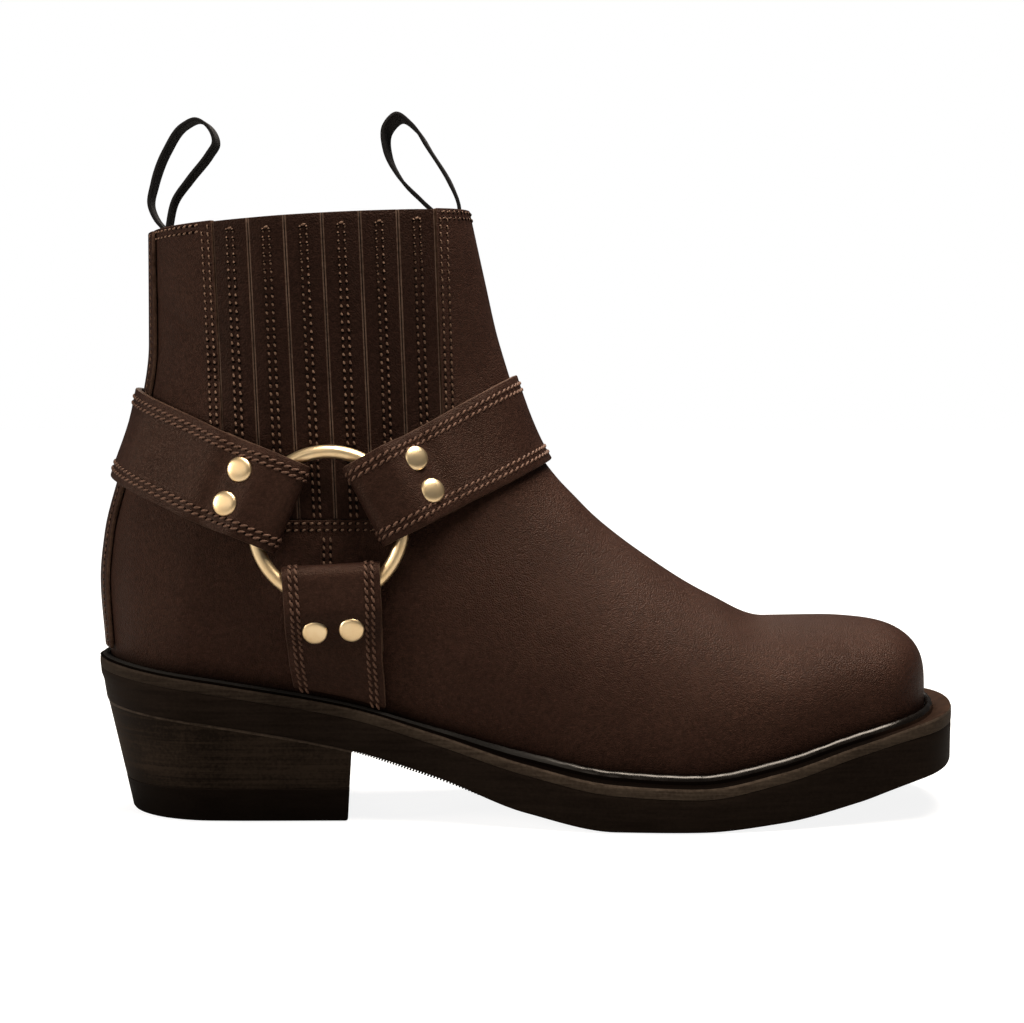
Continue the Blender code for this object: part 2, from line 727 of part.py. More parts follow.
def build_back_stay():
    levels = np.linspace(0.028, 0.992, 13)

    def inside(turn):
        x, z = side_point(0.5 * (1.0 + np.cos(2.0 * math.pi * turn)), levels)
        return x - back_at(z) < smooth(column(STAYS, "z"), column(STAYS, "deep"), z)

    edge = bisect(0.0 * levels + 0.5, 0.0 * levels + 0.38, inside)
    turn = 0.5 + np.linspace(-1.0, 1.0, 7)[:, None] * (0.5 - edge)[None, :]
    grid = lifted(turn, levels[None, :] + 0.0 * turn, BACK_STAY_LIFT + 0.0 * turn)
    add_sheet("back_stay", grid, BACK_STAY_THICK, 1.0, LEATHER)


class Ring:
    """Place of a ring on one side of the boot."""

    def __init__(self, side):
        turn, v = find_on_skin(np.array([RING_X]), np.array([RING_Z]), side)
        lift = STRAP_LIFT + STRAP_THICK + GAP + RING_WIRE + RING_CLEAR
        self.side = side
        self.normal = skin_normal(turn, v)[0]
        self.centre = lifted(turn, v, np.array([lift]))[0]

    def lean(self, normal, share):
        """The upper's normals turned to the ring's own by a share."""
        mixed = normal + (self.normal - normal) * share[..., None]
        return mixed / np.linalg.norm(mixed, axis=-1, keepdims=True)

    def height_over(self, point, normal):
        """Distance from points of the upper to the plane of the ring."""
        return ((self.centre - point) @ self.normal) / (normal @ self.normal)


def line_level(turn, point, way):
    """Level v at which a line of the side view crosses the upper at each turn."""
    s = 0.5 * (1.0 + np.cos(2.0 * math.pi * turn))

    def below(v):
        x, z = side_point(s, v)
        return (z - point[1]) * abs(way[0]) < (x - point[0]) * way[1] * math.copysign(1.0, way[0])

    return bisect(0.0 * turn, 0.0 * turn + 1.0, below)


def strap_axes(strap):
    way = np.array([strap.end_x - RING_X, strap.end_z - RING_Z])
    way = way / np.hypot(*way)
    return way, np.array([-way[1], way[0]])


def strap_wide(strap, along):
    """Width of a strap at a distance from the ring's centre."""
    length = math.hypot(strap.end_x - RING_X, strap.end_z - RING_Z)
    return strap.wide + (strap.end_wide - strap.wide) * along / length


def strap_outer(strap, ring, turn, v, seam):
    """Middle surface of a strap's outer layer over points of the upper."""
    way, _ = strap_axes(strap)
    point = skin(turn, v)
    along = (point[..., 0] - RING_X) * way[0] + (point[..., 2] - RING_Z) * way[1]
    near = 1.0 - ease((along - STRAP_WIRE_END) / (STRAP_PINCH - STRAP_WIRE_END))
    normal = ring.lean(skin_normal(turn, v), near)
    over = ring.height_over(point, normal)
    flat = STRAP_LIFT + 0.5 * STRAP_THICK
    stay = 0.0
    if seam == 0.5:
        gap_to_seam = np.abs(turn - 0.5) / BACK_STAY_TURN
        stay = (BACK_STAY_LIFT + BACK_STAY_THICK) * (1.0 - ease((gap_to_seam - 1.0) / 1.2))
    double = flat + STRAP_THICK + GAP
    far_lift = double + (flat + stay - double) * ease((along - STRAP_TAIL) / 12.0)
    lift = far_lift + (over + STRAP_BEND - far_lift) * near
    return point + normal * lift[..., None]


def strap_tail(strap, ring, turn, v):
    """Middle surface of the tucked layer that runs back under the strap."""
    way, _ = strap_axes(strap)
    point = skin(turn, v)
    along = (point[..., 0] - RING_X) * way[0] + (point[..., 2] - RING_Z) * way[1]
    near = 1.0 - ease((along - STRAP_WIRE_END) / (STRAP_PINCH - STRAP_WIRE_END))
    normal = ring.lean(skin_normal(turn, v), near)
    flat = STRAP_LIFT + 0.5 * STRAP_THICK
    lift = flat + (ring.height_over(point, normal) - STRAP_BEND - flat) * near
    return point + normal * np.maximum(flat, lift)[..., None]


def strap_spots(strap, side, along, across):
    """turn and v of a strap's points, by distance from the ring's centre and share of its width."""
    way, wide = strap_axes(strap)
    along = np.asarray(along, float)[:, None]
    across = np.asarray(across, float)[None, :] * strap_wide(strap, along)
    x = RING_X + way[0] * along + wide[0] * across
    z = RING_Z + way[1] * along + wide[1] * across
    return find_on_skin(x, z, side)


def strap_half(strap, side, seam):
    """A strap from its tucked end, round the ring, to a seam; with no seam it runs straight down."""
    ring = Ring(side)
    way, wide = strap_axes(strap)
    across = np.linspace(-0.5, 0.5, 4)
    start = STRAP_FOLD + STRAP_BEND + 0.5 * STRAP_THICK
    steps = [start, 22.0, 26.5, 30.0, 33.5, 37.0, 41.0]
    tail_turn, tail_v = strap_spots(strap, side, [STRAP_TAIL] + steps[-2::-1], across)
    if seam is None:
        turn, v = strap_spots(strap, side, steps + [46.0], across)
        length = np.hypot(strap.end_x - RING_X, strap.end_z - RING_Z)
        end_x = RING_X + way[0] * length + wide[0] * across * strap.end_wide
        end_z = station("welt_top", end_x) + WELT_ROLL_HIGH + 1.6
        end_turn, end_v = find_on_skin(end_x, end_z, side)
        turn = np.concatenate([turn, end_turn[None, :]])
        v = np.concatenate([v, end_v[None, :]])
    else:
        turn, v = strap_spots(strap, side, steps, across)
        goal = 1.0 if side > 0 and seam == 0.0 else seam
        share = np.linspace(0.0, 1.0, 10)[1:, None]
        more = turn[-1][None, :] + (goal - turn[-1])[None, :] * share
        level = np.empty_like(more)
        for j, share_across in enumerate(across):
            pin = np.array([RING_X, RING_Z]) + wide * share_across * strap.wide
            end = np.array([strap.end_x, strap.end_z]) + wide * share_across * strap.end_wide
            level[:, j] = line_level(more[:, j], pin, end - pin)
        turn = np.concatenate([turn, more])
        v = np.concatenate([v, level])
    outer = strap_outer(strap, ring, turn, v, seam)
    under = strap_tail(strap, ring, tail_turn, tail_v)
    middle = 0.5 * (outer[0] + under[-1])
    out = 0.5 * (outer[0] - under[-1])
    ahead = outer[0] - outer[1]
    ahead = ahead / np.linalg.norm(ahead, axis=1, keepdims=True)
    turns = np.radians([30.0, 60.0, 90.0, 120.0, 150.0])
    fold = [middle - out * math.cos(a) + ahead * STRAP_BEND * math.sin(a) for a in turns]
    return np.concatenate([under, np.array(fold), outer])


def rivet_place(strap, side, seam, offset):
    """Foot and axis of a rivet on a strap's outer face."""
    ring = Ring(side)
    along = [strap.rivets - 3.0, strap.rivets + 3.0]
    across = np.array([offset - 3.0, offset + 3.0]) / strap_wide(strap, strap.rivets)
    turn, v = strap_spots(strap, side, along, across)
    corner = strap_outer(strap, ring, turn, v, seam)
    axis = np.cross(corner[1, 1] - corner[0, 0], corner[0, 1] - corner[1, 0])
    axis = axis / np.linalg.norm(axis)
    axis = axis * math.copysign(1.0, float(axis @ ring.normal))
    foot = corner.reshape(4, 3).mean(axis=0) + axis * (0.5 * STRAP_THICK + RIVET_SEAT)
    return foot, axis


def build_straps():
    for side, name in ((-1, "lateral"), (1, "medial")):
        grid = strap_half(STRAP_DOWN, side, None)
        if side > 0:
            grid = grid[:, ::-1]
        add_sheet("strap_down_" + name, grid, STRAP_THICK, 0.0, LEATHER)
    for strap, seam in ((STRAP_REAR, 0.5), (STRAP_FRONT, 0.0)):
        near = strap_half(strap, -1, seam)
        far = strap_half(strap, 1, seam)
        grid = np.concatenate([near, far[-2::-1]])
        add_sheet(strap.name, grid, STRAP_THICK, 0.0, LEATHER)


def upright(normal):
    """Turn that lays an object's Z axis along a normal."""
    return Vector(normal).to_track_quat("Z", "Y").to_matrix().to_4x4()


def add_turned(name, profile, steps, place, axis):
    """A round piece: its profile mesh turned about the axis at a place."""
    part = bpy.data.objects.new(name, profile)
    PARTS.objects.link(part)
    part.parent = ROOT
    turned = part.modifiers.new("turned", "SCREW")
    turned.axis = "Z"
    turned.steps = steps
    turned.render_steps = steps
    turned.use_merge_vertices = True
    turned.merge_threshold = 0.00005
    part.matrix_local = Matrix.Translation(Vector(place) * MM) @ upright(axis)


def profile_mesh(name, points, closed):
    """A line in the XZ plane to be turned about Z."""
    mesh = bpy.data.meshes.new(name)
    count = len(points)
    edges = [(i, (i + 1) % count) for i in range(count if closed else count - 1)]
    mesh.from_pydata([(r * MM, 0.0, h * MM) for r, h in points], edges, [])
    mesh.materials.append(BRASS)
    return mesh


def build_rings_and_rivets():
    dome = [(0.0, 1.0), (0.55, 0.84), (0.93, 0.36), (1.0, 0.0), (0.0, 0.0)]
    rivet = profile_mesh("rivet", [(r * RIVET_RADIUS, h * RIVET_HIGH) for r, h in dome], False)
    angles = [2.0 * math.pi * i / RING_SIDES for i in range(RING_SIDES)]
    wire = [(RING_RADIUS + RING_WIRE * math.cos(a), -RING_WIRE * math.sin(a)) for a in angles]
    hoop = profile_mesh("ring", wire, True)
    for side, name in ((-1, "lateral"), (1, "medial")):
        ring = Ring(side)
        add_turned("ring_" + name, hoop, RING_STEPS, ring.centre, ring.normal)
        for strap, role, seam in STRAP_RUNS:
            for number, offset in ((1, 0.5 * RIVET_APART), (2, -0.5 * RIVET_APART)):
                foot, axis = rivet_place(strap, side, seam, offset)
                add_turned(f"rivet_{role}_{name}_{number}", rivet, RIVET_STEPS, foot, axis)


Bend = namedtuple("Bend", "name x z")
LOOP_REAR = [
    Bend("tail", 24.5, 184.0),
    Bend("collar", 24.4, 201.6),
    Bend("over the edge", 21.8, 204.8),
    Bend("back", 19.7, 210.0),
    Bend("rise", 20.9, 217.0),
    Bend("shoulder", 25.4, 228.8),
    Bend("crest", 31.6, 237.4),
    Bend("top", 36.2, 239.4),
    Bend("turn", 40.6, 236.6),
    Bend("front", 42.4, 231.4),
    Bend("fold", 40.2, 227.6),
    Bend("inner", 33.2, 218.8),
    Bend("low", 28.0, 211.4),
    Bend("inside", 26.1, 203.6),
    Bend("inner tail", 26.1, 184.0),
]
LOOP_FRONT = [
    Bend("tail", 130.5, 188.0),
    Bend("collar", 127.2, 204.6),
    Bend("front", 126.9, 210.0),
    Bend("rise", 124.0, 217.4),
    Bend("side", 116.7, 229.2),
    Bend("shoulder", 111.6, 236.8),
    Bend("crest", 106.2, 240.4),
    Bend("turn", 102.1, 236.4),
    Bend("back", 102.2, 228.0),
    Bend("inner", 106.4, 219.5),
    Bend("low", 114.2, 211.4),
    Bend("inside", 123.8, 202.0),
    Bend("inner tail", 128.8, 188.0),
]
Loop = namedtuple("Loop", "name bends yaw roll")
LOOPS = [
    Loop("pull_loop_rear", LOOP_REAR, 3.0, 0.0),
    Loop("pull_loop_front", LOOP_FRONT, 12.0, -12.0),
]


def build_loops():
    for loop in LOOPS:
        x = column(loop.bends, "x")
        z = column(loop.bends, "z")
        along = np.concatenate([[0.0], np.cumsum(np.hypot(np.diff(x), np.diff(z)))])
        at = np.linspace(0.0, along[-1], LOOP_STEPS)
        path = np.stack([rounded(along, x, at), 0.0 * at, rounded(along, z, at)], axis=1)
        free = ease((path[:, 2] - COLLAR_FRONT_Z) / 16.0)
        yaw = np.radians(loop.yaw * free)
        roll = np.radians(loop.roll * free)
        ribbon = np.stack([np.sin(yaw), np.cos(yaw), np.sin(roll)], axis=1) * 0.5 * LOOP_WIDE
        grid = np.stack([path - ribbon, path + ribbon], axis=1)
        add_sheet(loop.name, grid, LOOP_THICK, 0.0, WEBBING)


def rounded(table_in, table_out, at):
    """A curve through a table's rows that swings freely, for a springy ribbon."""
    a = np.asarray(table_in, float)
    b = np.asarray(table_out, float)
    slope = np.gradient(b, a)
    i = np.clip(np.searchsorted(a, at, side="right") - 1, 0, len(a) - 2)
    step = a[i + 1] - a[i]
    t = (at - a[i]) / step
    keep = (1.0 + 2.0 * t) * (1.0 - t) ** 2 * b[i] + t**2 * (3.0 - 2.0 * t) * b[i + 1]
    bend = t * (1.0 - t) ** 2 * slope[i] - t**2 * (1.0 - t) * slope[i + 1]
    return keep + step * bend


def make_material(name, colour, roughness, metallic=0.0):
    material = bpy.data.materials.new(name)
    material.use_nodes = True
    shader = material.node_tree.nodes["Principled BSDF"]
    shader.inputs["Base Color"].default_value = (*colour, 1.0)
    shader.inputs["Roughness"].default_value = roughness
    shader.inputs["Metallic"].default_value = metallic
    return material


for old in list(bpy.data.objects):
    bpy.data.objects.remove(old, do_unlink=True)

PARTS = bpy.data.collections.new("ring_boot")
CUTTERS = bpy.data.collections.new("cutters")
bpy.context.scene.collection.children.link(PARTS)
bpy.context.scene.collection.children.link(CUTTERS)
ROOT = bpy.data.objects.new("boot_frame", None)
bpy.context.scene.collection.objects.link(ROOT)
ROOT.location = (-HEEL_REST_STATION * MM, 0.0, 0.0)

LEATHER = make_material("brown_leather", (0.033, 0.016, 0.010), 0.42)
ELASTIC = make_material("black_elastic", (0.012, 0.010, 0.009), 0.85)
WEBBING = make_material("black_webbing", (0.010, 0.009, 0.009), 0.75)
LINING = make_material("tan_lining", (0.20, 0.13, 0.08), 0.70)
RUBBER = make_material("black_rubber", (0.011, 0.008, 0.006), 0.55)
WELT_BLACK = make_material("black_welt", (0.016, 0.011, 0.008), 0.38)
HEEL_STACK = make_material("dark_stacked_heel", (0.016, 0.011, 0.008), 0.50)
BRASS = make_material("pale_brass", (0.72, 0.56, 0.33), 0.22, 1.0)

build_sole()
build_heel()
build_upper()
build_gores()
build_back_stay()
build_straps()
build_rings_and_rivets()
build_loops()
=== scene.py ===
"""Looks of a short harness boot for the right foot.

Sizes are millimetres along the boot's own stations, as in the part's source, and become metres when
a mesh is made: stations run from the rear end of the sole to the toe, the outer side is at -Y.
"""

import math
from collections import namedtuple

import bmesh
import bpy
import numpy as np
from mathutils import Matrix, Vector


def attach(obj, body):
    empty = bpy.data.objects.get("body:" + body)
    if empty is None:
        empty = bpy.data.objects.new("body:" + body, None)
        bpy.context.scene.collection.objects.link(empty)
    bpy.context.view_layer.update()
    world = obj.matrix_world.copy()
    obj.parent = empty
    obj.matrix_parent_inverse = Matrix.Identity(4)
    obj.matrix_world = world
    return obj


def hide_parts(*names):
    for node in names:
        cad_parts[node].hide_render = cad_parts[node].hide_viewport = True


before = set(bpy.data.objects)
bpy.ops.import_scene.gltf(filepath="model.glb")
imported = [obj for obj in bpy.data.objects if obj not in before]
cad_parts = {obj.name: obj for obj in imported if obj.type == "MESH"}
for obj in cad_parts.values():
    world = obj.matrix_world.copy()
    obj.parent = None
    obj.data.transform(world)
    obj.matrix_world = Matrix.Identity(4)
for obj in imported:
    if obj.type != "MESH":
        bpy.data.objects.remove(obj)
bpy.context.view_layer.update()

MM = 0.001
ORIGIN = np.array([50.0, 0.0, 0.0])
BODY = "boot"
SIDES = ((-1, "lateral"), (1, "medial"))
GAP = 0.3

# Main sizes, as in the solids
SOLE_REAR = 0.6
SOLE_END = 300.8
WALL = 2.2
WELT_THICK = 3.9
WELT_ROLL_HIGH = 2.6
WELT_ROLL_WIDE = 2.4
WELT_INSIDE = 7.0
OUTSOLE_TUCK = 1.2
HEEL_LIFT_HIGH = 11.0
HEEL_REAR_SLOPE = 8.0
HEEL_SIDE_SLOPE = 2.6
HEEL_BREAST = 88.2
HEEL_BREAST_LEAN = 2.0
HEEL_BREAST_SKEW = 0.08
HEEL_SEAT_GAP = 0.4
HEEL_TOP_Z = 36.0
HEEL_REAR = 3.8
HEEL_SIDE_IN = 1.2
INSOLE_THICK = 3.0
FAN_X = 230.0
FAN_Z = 214.0
HEEL_SEAM_X = 4.0
TOE_END = 291.6
PAST_TOE = 305.0
TOE_MIDDLE_X = 262.0
TOE_MIDDLE_Z = 48.0
TOE_DEPTH = 24.0
TOE_SQUARE = 3.0
SWING = 10.0
SWING_FROM = 120.0
SWING_TO = 285.0
COLLAR_BACK_Z = 200.6
COLLAR_FRONT_Z = 208.2

GIRTH_COLUMNS = "name angle bottom_lateral bottom_medial full_lateral full_medial rise crown"
Girth = namedtuple("Girth", GIRTH_COLUMNS)
GIRTHS = [
    Girth("collar", 182.0, 38.0, 38.0, 39.0, 39.0, 0.40, 2.1),
    Girth("shaft", 193.0, 36.5, 36.5, 38.0, 38.0, 0.40, 2.1),
    Girth("ankle", 204.0, 33.0, 33.0, 37.0, 36.5, 0.40, 2.1),
    Girth("heel", 215.0, 31.5, 31.0, 36.5, 35.5, 0.38, 2.0),
    Girth("instep", 234.0, 31.0, 26.5, 38.5, 36.0, 0.34, 1.9),
    Girth("waist", 248.0, 37.0, 31.0, 43.5, 39.5, 0.30, 1.9),
    Girth("behind the ball", 256.0, 44.4, 36.4, 47.6, 41.2, 0.26, 2.0),
    Girth("ball", 263.0, 48.2, 39.6, 49.6, 42.0, 0.22, 2.1),
    Girth("before the toe", 270.0, 46.6, 38.6, 47.9, 40.2, 0.20, 2.4),
    Girth("toe", 278.0, 41.8, 35.4, 43.0, 36.6, 0.20, 2.7),
    Girth("toe tip", 292.0, 34.6, 28.8, 35.6, 29.8, 0.20, 3.4),
]

Height = namedtuple("Height", "z back heel_round")
BACKS = [
    Height(40.0, 5.0, 33.0),
    Height(56.0, 4.2, 33.0),
    Height(80.0, 2.6, 35.0),
    Height(96.0, 4.2, 37.0),
    Height(114.0, 8.8, 40.0),
    Height(138.0, 16.8, 44.0),
    Height(162.0, 20.4, 47.0),
    Height(230.0, 20.7, 50.0),
]

Ridge = namedtuple("Ridge", "name x z")
RIDGES = [
    Ridge("past the toe", 312.0, 58.0),
    Ridge("toe cap", 278.0, 63.8),
    Ridge("toe top", 256.0, 65.6),
    Ridge("vamp dip", 236.0, 65.5),
    Ridge("vamp", 216.0, 73.2),
    Ridge("low instep", 194.0, 86.6),
    Ridge("instep", 171.0, 104.8),
    Ridge("throat", 156.0, 122.5),
    Ridge("ankle front", 146.0, 146.0),
    Ridge("shaft front", 138.8, 172.0),
    Ridge("collar front", 131.1, 206.0),
    Ridge("past the collar", 126.0, 230.0),
]

Station = namedtuple("Station", "x welt_top outsole_bottom lateral medial")
STATIONS = [
    Station(-5.0, 54.8, 39.0, 35.0, 34.5),
    Station(20.0, 51.2, 36.4, 35.6, 35.0),
    Station(50.0, 46.6, 32.2, 36.4, 35.6),
    Station(90.0, 39.6, 24.8, 36.0, 32.0),
    Station(120.0, 30.8, 15.9, 38.0, 31.0),
    Station(150.0, 21.8, 5.0, 44.9, 36.1),
    Station(180.0, 16.2, 0.0, 54.0, 44.5),
    Station(208.0, 15.0, 0.0, 57.2, 48.2),
    Station(235.0, 19.4, 2.0, 54.4, 47.1),
    Station(262.0, 27.2, 7.5, 48.7, 41.8),
    Station(285.0, 33.0, 14.6, 43.8, 38.0),
    Station(308.0, 36.8, 19.8, 43.0, 36.4),
]
SOLE_HEEL_ROUND = 36.0
SOLE_TOE_DEPTH = 27.0

# The harness
RING_X = 84.4
RING_Z = 100.7
RING_RADIUS = 24.5
RING_WIRE = 2.0
RING_WIRE_SEEN = 2.25
STRAP_THICK = 2.2
STRAP_LIFT = 0.5
STRAP_FOLD = 12.7
STRAP_WIRE_END = 27.0
STRAP_PINCH = 40.0
STRAP_TAIL = 43.0
STRAP_FREE = 41.0
STRAP_TAIL_EASE = 12.0
STRAP_WELT_GAP = 1.2
RING_CLEAR = 1.6
BACK_STAY_TURN = 0.062
BACK_STAY_CLEAR = 0.4
BACK_STAY_EASE = 1.2
Strap = namedtuple("Strap", "name end_x end_z wide end_wide rivets")
STRAP_REAR = Strap("strap_rear", 11.5, 131.5, 30.8, 32.2, 33.5)
STRAP_FRONT = Strap("strap_front", 150.5, 135.2, 28.8, 32.4, 34.3)
STRAP_DOWN = Strap("strap_down", 87.6, 44.6, 33.0, 31.0, 33.8)
STRAP_RUNS = [(STRAP_REAR, "rear", 0.5), (STRAP_FRONT, "front", 0.0), (STRAP_DOWN, "down", None)]
STRAP_BEND = RING_WIRE + GAP + 0.5 * STRAP_THICK
RIVET_SEAT = 0.35
RIVET_UPRIGHT = 0.5
RIVET_RADIUS = 4.2
RIVET_HIGH = 1.7
RIVET_APART = 12.2

# The gores
GORE_TOP_REAR = 45.4
GORE_TOP_FRONT = 120.0
GORE_LOW_REAR = 48.5
GORE_LOW_FRONT = 122.2
GORE_LOW_Z = 131.0
GORE_FOOT_REAR = 67.0
GORE_FOOT_FRONT = 105.0
GORE_FOOT_Z = 102.6
GORE_LAP = 4.0
GORE_PAST_Z = 240.0
GORE_CUT_TOP = 226.0
GORE_BEHIND = 0.5
GORE_COLLAR_GAP = 0.2
CUT_MARGIN = 12.0
CUT_SNAP = 0.02
CUT_REACH = 0.75
SIDE_FROM = 3.0
GORE_THICK = 1.2
GORE_WEAVE = (85.0, 105.0)
STRIPS = 6
STRIP_SLIT = 0.3
STRIP_THICK = 1.5
STRIP_LIFT = -0.75
STRIP_CROWN = 0.25
STRIP_END_GAP = 0.4
STRIP_TOP_Z = 200.0
STRIP_ROWS = 40
SIDE_SEAM = 81.4
LIP_WIDE = 11.0
LIP_HIGH = 0.45
LIP_FOOT_Z = 50.0
LIP_TOP_GAP = 5.6

Stay = namedtuple("Stay", "z deep")
STAYS = [
    Stay(46.0, 3.7),
    Stay(78.0, 4.6),
    Stay(112.0, 4.3),
    Stay(150.0, 3.9),
    Stay(204.0, 3.0),
]
BACK_STAY_THICK = 1.4
BACK_STAY_LIFT = 0.3
LOOP_WIDE = 10.0
LOOP_THICK = 1.2

# Fineness of the meshes
UPPER_AROUND = 288
UPPER_LEVELS = 150
SOLE_STEPS = 600
STRAP_ACROSS = 9


# Shape of the last

def column(table, name):
    return np.array([getattr(row, name) for row in table], float)


def hermite(a, b, slope, at):
    i = np.clip(np.searchsorted(a, at, side="right") - 1, 0, len(a) - 2)
    step = a[i + 1] - a[i]
    t = (at - a[i]) / step
    keep = (1.0 + 2.0 * t) * (1.0 - t) ** 2 * b[i] + t**2 * (3.0 - 2.0 * t) * b[i + 1]
    bend = t * (1.0 - t) ** 2 * slope[i] - t**2 * (1.0 - t) * slope[i + 1]
    return keep + step * bend


def smooth(table_in, table_out, at):
    """A curve through the rows of a table that never swings past them."""
    a = np.asarray(table_in, float)
    b = np.asarray(table_out, float)
    step = np.diff(a)
    rise = np.diff(b) / step
    slope = np.concatenate([rise[:1], np.zeros(len(a) - 2), rise[-1:]])
    for i in range(1, len(a) - 1):
        if rise[i - 1] * rise[i] > 0.0:
            w1 = 2.0 * step[i] + step[i - 1]
            w2 = step[i] + 2.0 * step[i - 1]
            slope[i] = (w1 + w2) / (w1 / rise[i - 1] + w2 / rise[i])
    return hermite(a, b, slope, np.clip(np.asarray(at, float), a[0], a[-1]))


def rounded(table_in, table_out, at):
    """A curve through a table's rows that swings freely, for a springy ribbon."""
    a = np.asarray(table_in, float)
    b = np.asarray(table_out, float)
    return hermite(a, b, np.gradient(b, a), at)


def ease(t):
    t = np.clip(t, 0.0, 1.0)
    return t * t * (3.0 - 2.0 * t)


def station(name, x):
    return smooth(column(STATIONS, "x"), column(STATIONS, name), x)


def seat(x):
    return station("welt_top", x) + GAP


def back_at(z):
    return smooth(column(BACKS, "z"), column(BACKS, "back"), z)


def heel_round_at(z):
    return smooth(column(BACKS, "z"), column(BACKS, "heel_round"), z)


def path_length(x, z):
    return np.concatenate([[0.0], np.cumsum(np.hypot(np.diff(x), np.diff(z)))])


def run_length(points):
    return np.concatenate([[0.0], np.cumsum(np.linalg.norm(np.diff(points, axis=0), axis=1))])


def unit(vectors):
    return vectors / np.linalg.norm(vectors, axis=-1, keepdims=True)


def ridge_curve(count=400):
    x = column(RIDGES, "x")
    z = column(RIDGES, "z")
    along = path_length(x, z)
    at = np.linspace(0.0, along[-1], count)
    return smooth(along, x, at), smooth(along, z, at)


def fan_polar(x, z):
    angle = np.degrees(np.arctan2(z - FAN_Z, x - FAN_X)) % 360.0
    return angle, np.hypot(x - FAN_X, z - FAN_Z)


def fan_limits():
    """Distance from the fan's centre to the ridge and to the sole or back, for each angle."""
    angles = np.linspace(180.0, 296.0, 233)
    ridge_angle, ridge_far = fan_polar(*ridge_curve())
    order = np.argsort(ridge_angle)
    near = np.interp(angles, ridge_angle[order], ridge_far[order])
    heights = np.linspace(FAN_Z, seat(HEEL_SEAM_X), 120)
    stations = np.linspace(HEEL_SEAM_X, PAST_TOE, 240)[1:]
    bottom_x = np.concatenate([back_at(heights), stations])
    bottom_z = np.concatenate([heights, seat(stations)])
    bottom_angle, bottom_far = fan_polar(bottom_x, bottom_z)
    order = np.argsort(bottom_angle)
    far = np.interp(angles, bottom_angle[order], bottom_far[order])
    window = np.hanning(27)
    window = window / window.sum()
    padded = np.concatenate([np.full(13, far[0]), far, np.full(13, far[-1])])
    return angles, near, np.convolve(padded, window, mode="valid")


FAN_ANGLES, FAN_NEAR, FAN_FAR = fan_limits()


def girth(name, angle):
    return smooth(column(GIRTHS, "angle"), column(GIRTHS, name), angle)


def fullness(x, z):
    """How much of a section is left at a point: 1 on the side wall, 0 on the outline."""
    angle, distance = fan_polar(x, z)
    near = np.interp(angle, FAN_ANGLES, FAN_NEAR)
    far = np.interp(angle, FAN_ANGLES, FAN_FAR)
    reach = (far - distance) / (far - near)
    rise = girth("rise", angle)
    crown = np.clip((reach - rise) / (1.0 - rise), 0.0, None) ** girth("crown", angle)
    heel = np.clip(1.0 - (x - back_at(z)) / heel_round_at(z), 0.0, None) ** 2
    toe = np.clip(1.0 - (TOE_END - x) / TOE_DEPTH, 0.0, None) ** TOE_SQUARE
    return 1.0 - crown - heel - toe, angle, reach / rise


def half_width(x, z, side):
    """Distance of the upper's wall from its middle plane: side -1 is lateral, +1 medial."""
    left, angle, low = fullness(x, z)
    name = "lateral" if side < 0 else "medial"
    bottom = girth("bottom_" + name, angle)
    full = girth("full_" + name, angle)
    wall = full - (full - bottom) * np.clip(1.0 - low, 0.0, 1.0) ** 2
    return wall * np.sqrt(np.clip(left, 0.0, None))


def swing(x):
    return SWING * ease((x - SWING_FROM) / (SWING_TO - SWING_FROM))


def bisect(low, high, inside):
    low = np.array(low, float)
    high = np.array(high, float)
    for _ in range(44):
        middle = 0.5 * (low + high)
        good = inside(middle)
        low = np.where(good, middle, low)
        high = np.where(good, high, middle)
    return 0.5 * (low + high)


def along_curve(x, z, count):
    length = path_length(x, z)
    at = np.linspace(0.0, length[-1], count)
    return np.interp(at, length, x), np.interp(at, length, z)


def front_outline():
    """Outline of the upper in side view from the toe's lower edge to the collar."""
    toe_x = bisect(250.0, 300.0, lambda x: fullness(x, seat(x))[0] > 0.0)
    start = math.atan2(float(seat(toe_x)) - TOE_MIDDLE_Z, float(toe_x) - TOE_MIDDLE_X)
    turn = np.linspace(start, math.radians(100.0), 90)
    ray_x, ray_z = np.cos(turn), np.sin(turn)
    reach = bisect(
        np.zeros(90),
        np.full(90, 60.0),
        lambda r: fullness(TOE_MIDDLE_X + r * ray_x, TOE_MIDDLE_Z + r * ray_z)[0] > 0.0,
    )
    toe = TOE_MIDDLE_X + reach * ray_x, TOE_MIDDLE_Z + reach * ray_z
    ridge_x, ridge_z = ridge_curve()
    keep = (ridge_x < toe[0][-1] - 1.0) & (ridge_z < COLLAR_FRONT_Z)
    x = np.concatenate([toe[0], ridge_x[keep]])
    z = np.concatenate([toe[1], ridge_z[keep]])
    return along_curve(x, z, 300)


def back_outline():
    z = np.linspace(seat(HEEL_SEAM_X), COLLAR_BACK_Z, 200)
    return along_curve(back_at(z), z, 200)


FRONT_X, FRONT_Z = front_outline()
BACK_X, BACK_Z = back_outline()


